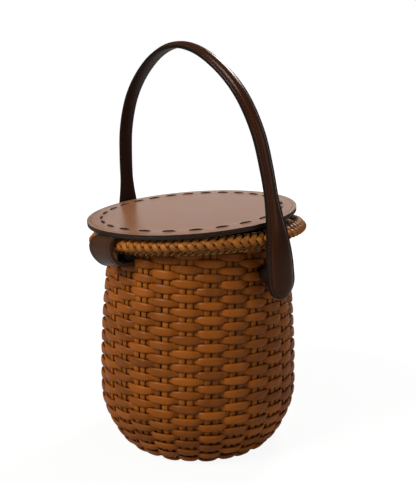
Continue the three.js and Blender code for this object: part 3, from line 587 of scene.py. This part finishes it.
# Braided rim: a three-strand plait of flat cane bent over the stake ends, which a second
# plait closes on the inside. Its herringbone lies on the top and the outside.
BRAID_RADIUS = 97.6
BRAID_HALF_WIDTH = 9.8
BRAID_HALF_HEIGHT = 6.9
PLAIT_PERIODS = 28
PLAIT_FACINGS = (math.radians(30), math.radians(205))
PLAIT_REACH = math.radians(60)
PLAIT_STRAND_WIDTH = 5.0
PLAIT_STRAND_THICKNESS = 2.6
PLAIT_DEPTH = 1.5
PLAIT_RIDGES = 4
PLAIT_RIDGE_DEPTH = 0.22
FILLER_INSET = 2.9
BRAID_LIGHT = (0.56, 0.200, 0.030)
BRAID_DARK = (0.13, 0.038, 0.006)
FILLER_SHADE_DARK = (0.05, 0.018, 0.005)

bands, tones = [], []
angle = np.linspace(0, 2 * math.pi, PLAIT_PERIODS * 24 + 1)
across, depth = oval(PLAIT_STRAND_WIDTH, PLAIT_STRAND_THICKNESS, 24, 0.9)
ridges = np.cos(across / PLAIT_STRAND_WIDTH * 2 * math.pi * PLAIT_RIDGES)
depth = depth * (1 - PLAIT_RIDGE_DEPTH * (0.5 + 0.5 * ridges))
for facing in PLAIT_FACINGS:
    for number in range(3):
        phase = angle * PLAIT_PERIODS + number * 2 * math.pi / 3
        turn = facing + PLAIT_REACH * np.sin(phase)
        sunk = PLAIT_STRAND_THICKNESS / 2 + PLAIT_DEPTH / 2 - PLAIT_DEPTH * np.sin(2 * phase)
        out = (BRAID_HALF_WIDTH - sunk) * np.cos(turn)
        rise = (BRAID_HALF_HEIGHT - sunk) * np.sin(turn)
        level = rim_level(angle, BRAID_RADIUS + out) + rise
        centre = around(angle, BRAID_RADIUS + out, level)
        normal = unit(around(angle, np.cos(turn) / BRAID_HALF_WIDTH,
                             np.sin(turn) / BRAID_HALF_HEIGHT))
        along = unit(np.gradient(centre, axis=0))
        sideways = unit(np.cross(normal, along))
        bands.append(strand(centre, sideways, np.cross(along, sideways), across, depth))
        shades = [dice.uniform(-1, 1) for _ in range(PLAIT_PERIODS * 2 + 1)]
        shade_places = np.linspace(0, phase[-1] - phase[0], len(shades))
        tones.append(np.interp(phase - phase[0], shade_places, shades))
braid_cane = cane_finish("braid_cane", BRAID_LIGHT, BRAID_DARK, streaks=1.1)
braid = loft("rim_plaits", bands, braid_cane, tones)
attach(braid, "basket")
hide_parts("rim_braid")

# Filler: the braid's core under the plaits' strands, painted dark for the shade in the gaps
# between them.
angle = np.linspace(0, 2 * math.pi, 121)[:, None]
turn = (np.arange(14) / 14 * 2 * math.pi)[None, :]
radius = BRAID_RADIUS + (BRAID_HALF_WIDTH - FILLER_INSET) * np.cos(turn)
level = rim_level(angle, radius) + (BRAID_HALF_HEIGHT - FILLER_INSET) * np.sin(turn)
filler_shade_cane = cane_finish("filler_shade_cane", BRAID_DARK, FILLER_SHADE_DARK)
filler = loft("rim_filler", [around(angle, radius, level)], filler_shade_cane)
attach(filler, "basket")

# Pivots: each handle end stands off the wall on a turned leather spacer. A brass stud goes
# through to a leather washer and a burr inside, and its head is closed in the handle's end.
# Each profile is radii and places along the pivot line.
PIVOT_HEIGHT = 184.8
SPACER_FLARE = [(3.3, 0.0), (7.0, 0.0), (7.0, 4.5), (8.2, 6.6), (9.9, 9.4), (10.4, 10.6),
                (10.5, 11.4)]
SPACER_LIP = [(10.5, -1.7), (10.2, -0.8), (9.4, -0.3), (3.3, -0.3)]
WASHER = [(3.3, 0.0), (10.2, 0.0), (10.9, 0.6), (10.9, 2.4), (10.4, 3.1), (3.3, 3.3)]
BURR = [(3.3, -1.9), (4.8, -1.9), (5.5, -1.3), (5.6, -0.4), (3.3, -0.4)]
STUD_TAIL = [(0.0, -4.3), (2.6, -4.3), (3.6, -3.8), (4.0, -3.0), (4.0, -2.2), (3.0, -2.1)]
STUD_HEAD = [(3.0, 0.2), (3.0, 1.0), (0.0, 1.0)]
HANDLE_FACE = 111.7
WASHER_PLACE = {"right": 82.3, "left": 80.6}
SPACER_PLACE = {"right": 89.4, "left": 87.8}
SPACER_BROWN = (0.012, 0.006, 0.004)
SPACER_WORN = (0.035, 0.018, 0.012)
WASHER_BROWN = (0.05, 0.02, 0.01)
WASHER_WORN = (0.1, 0.05, 0.03)
BRASS_DARK = (0.18, 0.10, 0.03, 1)
BRASS_LIGHT = (0.52, 0.34, 0.12, 1)

# Leather grain: pores, fine wrinkles and slow clouds of wear, between a dark and a worn tone.
CLOUD_HAZE = 0.14

group, given, made = new_group("leather_grain", {
    "Hide": (0.05, 0.02, 0.01, 1), "Worn": (0.12, 0.05, 0.03, 1), "Wear": 0.5, "Gloss": 0.3})
place = new_node(group, "TexCoord")
pores = new_node(group, "TexVoronoi", {"Vector": place.outputs["Object"], "Scale": 1300})
clouds = noise(group, scale=28, detail=6)
wrinkles = noise(group, scale=420, detail=4)
wear = maths(group, "MULTIPLY", clouds, given.outputs["Wear"])
blend = new_node(group, "Mix", {
    "Factor": wear, "A": given.outputs["Hide"], "B": given.outputs["Worn"]}, data_type="RGBA")
haze = maths(group, "MULTIPLY", clouds, CLOUD_HAZE)
roughness = maths(group, "ADD", haze, given.outputs["Gloss"])
height = maths(group, "ADD", pores.outputs["Distance"], wrinkles)
put_out(group, made, blend.outputs["Result"], roughness, height)


def leather_finish(name, hide, worn, wear=0.5, gloss=0.25, bump=0.12, ior=1.26):
    """Finished leather between two browns; gloss is its least roughness."""
    values = {"Hide": hide, "Worn": worn, "Wear": wear, "Gloss": gloss}
    return finish_from(name, "leather_grain", values, ior, bump, bump_depth=0.0002)


def turned(name, profile, way, material):
    """A piece turned about the pivot line from radii and places along it."""
    turn = np.linspace(0, 2 * math.pi, 49)[:, None]
    radius, reach = np.array(profile).T
    x = np.broadcast_to(way * reach, (len(turn), len(reach)))
    y, z = way * radius * np.cos(turn), PIVOT_HEIGHT + radius * np.sin(turn)
    return loft(name, [np.stack([x, y, z], axis=2)], material, open_section=radius[0] == 0)


def shifted(profile, push):
    """The same profile further along the pivot line."""
    return [(radius, reach + push) for radius, reach in profile]


spacer_leather = leather_finish("spacer_leather", SPACER_BROWN, SPACER_WORN, gloss=0.3, bump=0.2)
washer_leather = leather_finish("washer_leather", WASHER_BROWN, WASHER_WORN, gloss=0.4, bump=0.2)
brass = bpy.data.materials.new("aged_brass")
brass.use_nodes = True
tree = brass.node_tree
shader = tree.nodes["Principled BSDF"]
shader.inputs["Metallic"].default_value = 1.0
tarnish = noise(tree, scale=300, detail=5)
ramp = new_node(tree, "ValToRGB", {"Fac": tarnish})
ramp.color_ramp.elements[0].color = BRASS_DARK
ramp.color_ramp.elements[1].color = BRASS_LIGHT
rough = new_node(tree, "MapRange", {"Value": tarnish, "To Min": 0.2, "To Max": 0.5})
tree.links.new(ramp.outputs["Color"], shader.inputs["Base Color"])
tree.links.new(rough.outputs["Result"], shader.inputs["Roughness"])

for side, way in (("right", 1), ("left", -1)):
    inside = WASHER_PLACE[side]
    spacer = shifted(SPACER_FLARE, SPACER_PLACE[side]) + shifted(SPACER_LIP, HANDLE_FACE)
    stud = shifted(STUD_TAIL, inside) + shifted(STUD_HEAD, HANDLE_FACE)
    for name, profile, material, slot, node in (
            ("spacer", spacer, spacer_leather, "dark_leather", "pivot_spacer"),
            ("washer", shifted(WASHER, inside), washer_leather, "leather", "inner_washer"),
            ("burr", shifted(BURR, inside), brass, "brass", "stud_burr"),
            ("stud", stud, brass, "brass", "pivot_stud")):
        piece = turned(f"{name}_{side}", profile, way, material)
        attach(piece, "basket")
        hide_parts(f"{node}_{side}")

# Hinge loop: a leather band with a sewn edge that comes from the lid, bulges out round the
# braid, goes in through the wall and lies up inside it. Its hollow side is painted nearly
# black, for the shade inside the loop. The band's two edges follow their own lines of Y and Z.
LOOP_WIDTH = 26.0
LOOP_THICKNESS = 2.2
LOOP_EDGE_THICKNESS = 3.7
LOOP_EDGE_WIDTH = 2.6
LOOP_FRONT = [
    (-108.9, 219.5), (-112.8, 216.8), (-114.5, 211.0), (-113.9, 205.2), (-111.1, 199.6),
    (-106.4, 194.7), (-100.6, 191.8), (-94.6, 191.4), (-85.0, 192.2), (-80.4, 195.6),
    (-78.6, 202.0), (-76.7, 211.0)]
LOOP_BACK = [
    (-108.9, 219.5), (-115.6, 218.0), (-119.3, 212.0), (-118.9, 205.8), (-116.4, 200.4),
    (-112.4, 195.4), (-107.0, 191.0), (-101.0, 188.6), (-90.0, 189.0), (-81.8, 193.6),
    (-78.6, 202.0), (-76.7, 211.0)]
HOLLOW_SIDES = (0, 1, 2, 10, 11)
LOOP_BROWN = (0.045, 0.017, 0.008)
LOOP_WORN = (0.10, 0.045, 0.024)
# Painted shade for the loop's hollow side, nearly black, with a little wear.
HOLLOW_SHADE_BLACK = (0.006, 0.004, 0.003)
HOLLOW_SHADE_WORN = (0.012, 0.008, 0.006)
SEAM_INSET = 3.6
SEWN_SHARE = 0.62
STITCH_PITCH = 3.3
STITCH_RUN = 2.4
THREAD = 0.6
THREAD_BROWN = (0.02, 0.011, 0.008)
THREAD_WORN = (0.09, 0.05, 0.03)


def through(points, count):
    """A smooth line through a few points, evenly stepped."""
    points = np.asarray(points, float)
    chords = np.linalg.norm(np.diff(points, axis=0), axis=1)
    knots = np.concatenate([[0], np.cumsum(chords ** 0.5)])
    slopes = np.gradient(points, knots, axis=0)
    where = np.linspace(0, knots[-1], count)
    i = np.clip(np.searchsorted(knots, where) - 1, 0, len(knots) - 2)
    span = (knots[i + 1] - knots[i])[:, None]
    t = (where - knots[i])[:, None] / span
    return ((2 * t ** 3 - 3 * t ** 2 + 1) * points[i]
            + (t ** 3 - 2 * t ** 2 + t) * span * slopes[i]
            + (3 * t ** 2 - 2 * t ** 3) * points[i + 1]
            + (t ** 3 - t ** 2) * span * slopes[i + 1])


def walked_along(line):
    """Distance walked to each point of a line."""
    return np.concatenate([[0], np.cumsum(np.linalg.norm(np.diff(line, axis=0), axis=1))])


def read_off(where, walked, line):
    """Points of a line at places walked to."""
    return np.stack([np.interp(where, walked, column) for column in line.T], axis=-1)


def stitches(name, seams, material):
    """Short raised stitches, sunk at both ends, along seams of points and outward directions."""
    bands = []
    across, depth = oval(THREAD, THREAD, 6, 1.0)
    run = np.array([[-0.5], [-0.4], [0.0], [0.4], [0.5]]) * STITCH_RUN
    rise = np.array([[-0.4], [0.0], [0.15], [0.0], [-0.4]]) * THREAD
    size = np.array([[0.5], [0.9], [1.0], [0.9], [0.5]])
    for line, normals in seams:
        walked = walked_along(line)
        last = walked[-1] - STITCH_PITCH / 2
        for distance in np.arange(STITCH_PITCH / 2, last, STITCH_PITCH):
            before, after = (read_off(distance + ahead, walked, line) for ahead in (-0.5, 0.5))
            normal = unit(read_off(distance, walked, normals))
            way = unit(after - before)
            centre = (before + after) / 2 + way * run + normal * rise
            sideways = np.cross(normal, way)[None, :]
            bands.append(strand(centre, sideways, normal[None, :], size * across, size * depth))
    return loft(name, bands, material, capped=True)


thread = leather_finish("waxed_thread", THREAD_BROWN, THREAD_WORN, wear=0.6, gloss=0.35, bump=0.3)
front, back = through(LOOP_FRONT, 150), through(LOOP_BACK, 150)
along = unit(np.gradient((front + back) / 2, axis=0))
outward = np.stack([0 * along[:, 0], along[:, 1], -along[:, 0]], axis=1)


def on_loop(across, sunk):
    """Loop points by station: across the band and in from its face, between its two edges."""
    share = (np.asarray(across) / LOOP_WIDTH + 0.5)[None, :, None]
    flat = back[:, None, :] * (1 - share) + front[:, None, :] * share
    x = np.broadcast_to(np.asarray(across)[None, :, None], (*flat.shape[:2], 1))
    sunk = outward[:, None, :] * np.asarray(sunk)[None, :, None]
    return np.concatenate([x, flat], axis=2) - sunk


half, hollow_half = LOOP_WIDTH / 2, LOOP_WIDTH / 2 - LOOP_EDGE_WIDTH
right_side = [(hollow_half, LOOP_THICKNESS), (hollow_half + 0.4, LOOP_EDGE_THICKNESS),
              (half - 0.4, LOOP_EDGE_THICKNESS), (half, LOOP_EDGE_THICKNESS - 0.5),
              (half, 0.5), (half - 0.5, 0)]
left_side = [(-across, sunk) for across, sunk in reversed(right_side)]
profile = left_side[-1:] + right_side + left_side[:-1]
loop_leather = leather_finish("loop_leather", LOOP_BROWN, LOOP_WORN,
                              wear=0.6, gloss=0.2, bump=0.15, ior=1.33)
# The hollow side's leather is painted nearly black, for the shade inside the loop.
hollow_shade_leather = leather_finish("loop_hollow_shade", HOLLOW_SHADE_BLACK, HOLLOW_SHADE_WORN,
                                gloss=0.5, bump=0.3, ior=1.25)
loop = loft("hinge_band", [on_loop(*np.array(profile).T)], loop_leather, capped=True)
loop.data.materials.append(hollow_shade_leather)
walls = (len(front) - 1) * len(profile)
for polygon in loop.data.polygons:
    polygon.use_smooth = False
    hollow = polygon.index < walls and polygon.index % len(profile) in HOLLOW_SIDES
    polygon.material_index = int(hollow)
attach(loop, "basket")
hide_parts("hinge_loop")

sewn = slice(0, int(len(front) * SEWN_SHARE))
seams = [(on_loop([side * (half - SEAM_INSET)], [0])[sewn, 0], outward[sewn])
         for side in (-1, 1)]
loop_stitches = stitches("loop_stitches", seams, thread)
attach(loop_stitches, "basket")

# Lid: two leathers with a board between, hung on the loop and resting on the rim. The edges
# are painted dark, and a line is creased into the top leather just inside them. The end of
# the loop is laced in under its edge as a tab.
LID_RADIUS = 103.0
HINGE_PLACE = (-110.0, 219.93)
LID_TILT = math.radians(5.398)
LINING_LEVELS = (0.0, 2.1)
TOP_LEVELS = (2.3, 4.5)
TOP_ROUNDING = 0.5
LINING_ROUNDING = 0.4
CREASE_RADIUS = 99.2
CREASE_WIDTH = 0.7
PUCKER_FROM = 80.0
PUCKER_FULL = 88.0
PUCKER_DEPTH = 1.2
LACE_RADIUS = 89.0
LACE_STITCHES = 26
LACE_STITCH = 12.0
FRONT_STITCH = math.radians(-38.2)
SPACING_WANDER = 0.10
TAB_STITCH = 22
TAB_LEVELS = (-2.3, -0.3)
TAB_START = 0.7
TAB_LENGTH = 18.0
TAB_CORNER = 4
TAB_CORNER_CUT = 1.2
SLOT_LONG = 1.8
SLOT_SHORT = 1.0
LID_BROWN = (0.235, 0.093, 0.039)
LID_WORN = (0.39, 0.173, 0.078)
EDGE_BROWN = (0.014, 0.008, 0.006)
EDGE_WORN = (0.035, 0.02, 0.014)
UNDERSIDE_BROWN = (0.02, 0.011, 0.008)
UNDERSIDE_WORN = (0.05, 0.028, 0.018)


def on_lid(points):
    """Lid points, from the lid's own middle and underside, in their place on the bag."""
    y, z = points[..., 1] + LID_RADIUS, points[..., 2]
    c, s = math.cos(LID_TILT), math.sin(LID_TILT)
    return np.stack([points[..., 0], HINGE_PLACE[0] + y * c - z * s,
                     HINGE_PLACE[1] + y * s + z * c], axis=-1)


def stitch_middle(stitch):
    """Where a lace stitch is on the lid; they're set wider apart at the front."""
    turn = stitch * 2 * math.pi / LACE_STITCHES
    return FRONT_STITCH + turn + SPACING_WANDER * math.sin(turn)


def punched(name, outline, slots, levels, rounding, finish, edge_finish):
    """A sheet of leather with rounded edges and slots for the lace, in its place on the lid."""
    low, high = levels
    curve = bpy.data.curves.new(name, "CURVE")
    curve.dimensions = "2D"
    curve.fill_mode = "BOTH"
    curve.extrude = ((high - low) / 2 - rounding) / 1000
    curve.bevel_depth = rounding / 1000
    curve.bevel_resolution = 2
    rims = [outline]
    turn = (np.arange(12) / 12 * 2 * math.pi)[:, None]
    for angle in slots:
        out = np.array([math.cos(angle), math.sin(angle)])
        side = np.array([-math.sin(angle), math.cos(angle)])
        reach = LACE_RADIUS + SLOT_LONG * np.cos(turn)
        rims.append(out * reach + side * SLOT_SHORT * np.sin(turn))
    for rim in rims:
        spline = curve.splines.new("POLY")
        spline.points.add(len(rim) - 1)
        for point, (x, y) in zip(spline.points, rim / 1000):
            point.co = (x, y, 0, 1)
        spline.use_cyclic_u = True
    holder = placed(name, curve)
    filled = holder.evaluated_get(bpy.context.evaluated_depsgraph_get())
    mesh = bpy.data.meshes.new_from_object(filled)
    bpy.data.objects.remove(holder)
    points = np.array([vertex.co for vertex in mesh.vertices]) * 1000
    points[:, 2] += (low + high) / 2
    mesh.materials.clear()
    mesh.materials.append(finish)
    mesh.materials.append(edge_finish)
    for polygon in mesh.polygons:
        polygon.material_index = int(abs(polygon.normal.z) < 0.5)
    mesh.vertices.foreach_set("co", (on_lid(points) / 1000).astype(np.float32).ravel())
    mesh.update()
    piece = placed(name, mesh)
    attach(piece, "lid")
    return piece


# Lid leather: a pucker near the lace, long waves, and the dark crease along the edge.
lid_leather = leather_finish("lid_leather", LID_BROWN, LID_WORN,
                             wear=0.6, gloss=0.24, bump=0.1, ior=1.43)
tree = lid_leather.node_tree
effect, relief = tree.nodes["effect"], tree.nodes["relief"]
place = new_node(tree, "TexCoord")
lid_middle = on_lid(np.array([0.0, 0.0, TOP_LEVELS[1]])) / 1000
from_middle = new_node(tree, "VectorMath", {
    0: place.outputs["Object"], 1: lid_middle}, operation="DISTANCE")
crease = new_node(tree, "Math", {
    0: from_middle.outputs["Value"], 1: CREASE_RADIUS / 1000, 2: CREASE_WIDTH / 2000},
    operation="COMPARE")
near_lace = new_node(tree, "MapRange", {
    "Value": from_middle.outputs["Value"], "From Min": PUCKER_FROM / 1000,
    "From Max": PUCKER_FULL / 1000}, interpolation_type="SMOOTHSTEP")
pucker = noise(tree, scale=95, detail=2)
swell = maths(tree, "MULTIPLY", pucker, near_lace.outputs["Result"])
swell = maths(tree, "ADD", swell, noise(tree, scale=14, detail=1))
creased = maths(tree, "SUBTRACT", swell, crease.outputs[0])
broad = new_node(tree, "Bump", {
    "Strength": 0.3, "Distance": PUCKER_DEPTH / 1000, "Height": creased})
tree.links.new(broad.outputs["Normal"], relief.inputs["Normal"])
darker = new_node(tree, "Mix", {
    "Factor": crease.outputs[0], "A": effect.outputs["Color"], "B": (*EDGE_WORN, 1)},
    data_type="RGBA")
tree.links.new(darker.outputs["Result"], tree.nodes["Principled BSDF"].inputs["Base Color"])

edge_leather = leather_finish("lid_edge", EDGE_BROWN, EDGE_WORN,
                              wear=0.6, gloss=0.35, bump=0.3, ior=1.3)
turn = np.arange(256) / 256 * 2 * math.pi
round_rim = around(turn, LID_RADIUS - TOP_ROUNDING)[:, :2]
slots = [stitch_middle(stitch) + end * LACE_STITCH / LACE_RADIUS
         for stitch in range(LACE_STITCHES) for end in (-0.5, 0.5)]
plate = punched("lid_plate", round_rim, slots, TOP_LEVELS, TOP_ROUNDING, lid_leather,
                edge_leather)
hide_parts("lid_top")
lining_leather = leather_finish("lining_leather", UNDERSIDE_BROWN, UNDERSIDE_WORN,
                                gloss=0.45, bump=0.4, ior=1.3)
lining = punched("lid_underside", round_rim, slots, LINING_LEVELS, LINING_ROUNDING,
                 lining_leather, edge_leather)
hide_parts("lid_lining")
# The board keeps its plain shape and shows only through the slots.
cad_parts["lid_board"].data.materials.clear()
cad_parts["lid_board"].data.materials.append(lining_leather)

half = LOOP_WIDTH / 2 - LINING_ROUNDING
near, far = TAB_START - LID_RADIUS, TAB_LENGTH - LID_RADIUS
cut = TAB_CORNER_CUT
tab_rim = np.array([(-half, near), (half, near), (half, far - TAB_CORNER),
                    (half - cut, far - cut), (half - TAB_CORNER, far),
                    (TAB_CORNER - half, far), (cut - half, far - cut),
                    (-half, far - TAB_CORNER)])
tab_slots = [angle for angle in slots
             if abs(LACE_RADIUS * math.cos(angle)) < half and math.sin(angle) < 0]
tab = punched("hinge_strap_end", tab_rim, tab_slots, TAB_LEVELS, LINING_ROUNDING,
              loop_leather, edge_leather)
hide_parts("hinge_tab")

# Lace: one narrow thong that runs over and under through the slots, all the way round.
LACE_WIDTH = 2.5
LACE_THICKNESS = 1.0
LACE_ABOVE = 4.9
LACE_BELOW = -1.0
UNDER_THE_TAB = -3.0
LACE_BROWN = (0.010, 0.006, 0.004)
LACE_WORN = (0.05, 0.028, 0.018)

half = LACE_STITCH / 2
climb = [(-half, 1.0), (0.1 - half, LACE_ABOVE - 1.4), (0.9 - half, LACE_ABOVE - 0.3),
         (2.4 - half, LACE_ABOVE)]
over = climb + [(0, LACE_ABOVE + 0.15)] + [(-ahead, level) for ahead, level in reversed(climb)]
route = []
for stitch in range(LACE_STITCHES):
    here, after = stitch_middle(stitch), stitch_middle(stitch + 1)
    enters = UNDER_THE_TAB if stitch == TAB_STITCH + 1 else LACE_BELOW
    leaves = UNDER_THE_TAB if stitch == TAB_STITCH else LACE_BELOW
    for ahead, level in [(-half, enters)] + over + [(half, leaves)]:
        route.append((here + ahead / LACE_RADIUS, level))
    route.append(((here + after) / 2, leaves - 0.3))
angle, level = np.array(route).T
outward = around(angle)
centre = around(angle, LACE_RADIUS, level)
along = unit(np.roll(centre, -1, axis=0) - np.roll(centre, 1, axis=0))
across, depth = oval(LACE_WIDTH, LACE_THICKNESS, 10, 0.7)
band = strand(centre, outward, np.cross(outward, along), across, depth)
lace_leather = leather_finish("lace_leather", LACE_BROWN, LACE_WORN, gloss=0.3, bump=0.2)
lace = loft("lid_thong", [on_lid(band)], lace_leather, closed=True)
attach(lace, "lid")
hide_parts("lid_lace")

# Handle: a crowned strap over a cord, on a flat lining, wide and round at its ends where the
# stud's head is closed in. Both layers are sewn just inside the edge, which is painted dark.
HANDLE_LEAN = math.radians(7)
HANDLE_SPREAD = 114.9
HANDLE_RISE = 208.0
ARCH = [(1.0, -0.16), (1.0, 0.0), (0.99, 0.165), (0.966, 0.293), (0.924, 0.471),
        (0.861, 0.62), (0.73, 0.764), (0.56, 0.868), (0.33, 0.955), (0.15, 0.991)]
STRAP_WIDTH = 14.8
STRAP_END_WIDTH = 32.5
STRAP_TAPER_START = 6.0
STRAP_TAPER_LENGTH = 74.0
STRAP_END_DROP = 4.0
LINING_OUT = (-3.0, -1.6)
STRAP_OUT = (-1.4, 0.4)
STRAP_CROWN = 3.0
STRAP_PADDING = 0.16
STRAP_MARGIN = 3.2
STRAP_SEAM = 2.0
STRAP_BROWN = (0.034, 0.0078, 0.0016)
STRAP_WORN = (0.092, 0.028, 0.008)
LINING_BROWN = (0.020, 0.0060, 0.0020)
LINING_WORN = (0.05, 0.020, 0.009)
PAINT_BROWN = (0.006, 0.004, 0.003)
PAINT_WORN = (0.02, 0.012, 0.009)

right_leg = [(x * HANDLE_SPREAD, z * HANDLE_RISE) for x, z in ARCH]
left_leg = [(-x, z) for x, z in reversed(right_leg)]
arch = through(right_leg + [(0.0, HANDLE_RISE)] + left_leg, 900)
arch_walked = walked_along(arch)
arch_way = unit(np.gradient(arch, axis=0))
pivot_at = -float(arch[0, 1])
leg_length = arch_walked[-1] / 2 - pivot_at
turn = np.arange(16) / 16 * math.pi / 2
leg = np.concatenate([-STRAP_END_DROP - (STRAP_END_WIDTH / 2 - 0.02) * np.cos(turn),
                      np.linspace(-STRAP_END_DROP, leg_length, 120)])
above = np.concatenate([leg, leg[-2::-1]])
where = np.concatenate([pivot_at + leg, arch_walked[-1] - pivot_at - leg[-2::-1]])
line = read_off(where, arch_walked, arch)
way = unit(read_off(where, arch_walked, arch_way))
outside = np.stack([way[:, 1], -way[:, 0]], axis=1)
end = STRAP_END_WIDTH / 2
share = np.clip((above - STRAP_TAPER_START) / STRAP_TAPER_LENGTH, 0, 1)
taper = end + (STRAP_WIDTH / 2 - end) * share * share * (3 - 2 * share)
round_end = np.sqrt(end ** 2 - np.clip(-STRAP_END_DROP - above, 0, end - 0.03) ** 2)
half_width = np.where(above < -STRAP_END_DROP, round_end, taper)


def on_handle(across, out):
    """Strap points by station: across the strap and out from its line, on the leaning arch."""
    up = line[:, None, 1] + outside[:, None, 1] * out
    c, s = math.cos(HANDLE_LEAN), math.sin(HANDLE_LEAN)
    return np.stack([line[:, None, 0] + outside[:, None, 0] * out, across * c - up * s,
                     PIVOT_HEIGHT + across * s + up * c], axis=2)


def crowned(half):
    """Section of the strap: a flat sewn margin, and a ridge over the cord, fuller where wide."""
    margin = min(STRAP_MARGIN, 0.45 * half)
    low, flat, ridge = *STRAP_OUT, half - margin
    padding = STRAP_PADDING * max(half - STRAP_WIDTH / 2, 0)
    crown = min(STRAP_CROWN - flat + padding, 0.7 * ridge)
    side = [(half, low), (half + 0.05, -0.6), (half, flat - 0.5), (half - 0.3, flat - 0.1),
            (half - 0.8, flat), (ridge + 0.3 * margin, flat - 0.1), (ridge, flat + 0.1)]
    for turn in np.linspace(0.2, 1.3, 6):
        rise = (crown - 0.1) * math.sin(turn) ** 0.85
        side.append((ridge * math.cos(turn), flat + 0.1 + rise))
    return side + [(0.0, flat + crown)] + [(-across, out) for across, out in reversed(side)]


sections = np.array([crowned(float(half)) for half in half_width])
band = on_handle(sections[:, :, 0], sections[:, :, 1])
strap_leather = leather_finish("strap_leather", STRAP_BROWN, STRAP_WORN,
                               wear=0.6, gloss=0.14, bump=0.02, ior=1.27)
strap = loft("handle_strap", [band], strap_leather, capped=True)
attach(strap, "handle")
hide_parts("handle_outer", "handle_core")

low, high = LINING_OUT
flat = np.array([[(-half, low + 0.25), (-half + 0.3, low), (half - 0.3, low),
                  (half, low + 0.25), (half, high), (-half, high)] for half in half_width])
band = on_handle(flat[:, :, 0], flat[:, :, 1])
backing_leather = leather_finish("backing_leather", LINING_BROWN, LINING_WORN,
                                 gloss=0.32, bump=0.2, ior=1.22)
backing = loft("handle_backing", [band], backing_leather, capped=True)
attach(backing, "handle")
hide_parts("handle_inner")

paint = np.array([[(half - 0.4, -1.3), (half + 0.02, low + 0.3), (half + 0.2, low + 0.9),
                   (half + 0.28, -1.3), (half + 0.2, -0.4), (half + 0.02, 0.0)]
                  for half in half_width])
bands = [on_handle(side * paint[:, :, 0], paint[:, :, 1]) for side in (1, -1)]
paint_finish = leather_finish("edge_paint", PAINT_BROWN, PAINT_WORN, wear=0.4, bump=0.3)
edge_paint = loft("handle_edge_paint", bands, paint_finish, capped=True)
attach(edge_paint, "handle")

none, full = np.zeros((len(above), 1)), np.ones((len(above), 1))
outward = on_handle(none, full)[:, 0] - on_handle(none, none)[:, 0]
seam = (half_width - np.minimum(STRAP_SEAM, 0.36 * half_width))[:, None]
seams = [(on_handle(side * seam, STRAP_OUT[1] * full)[:, 0], outward) for side in (-1, 1)]
handle_stitches = stitches("handle_stitches", seams, thread)
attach(handle_stitches, "handle")
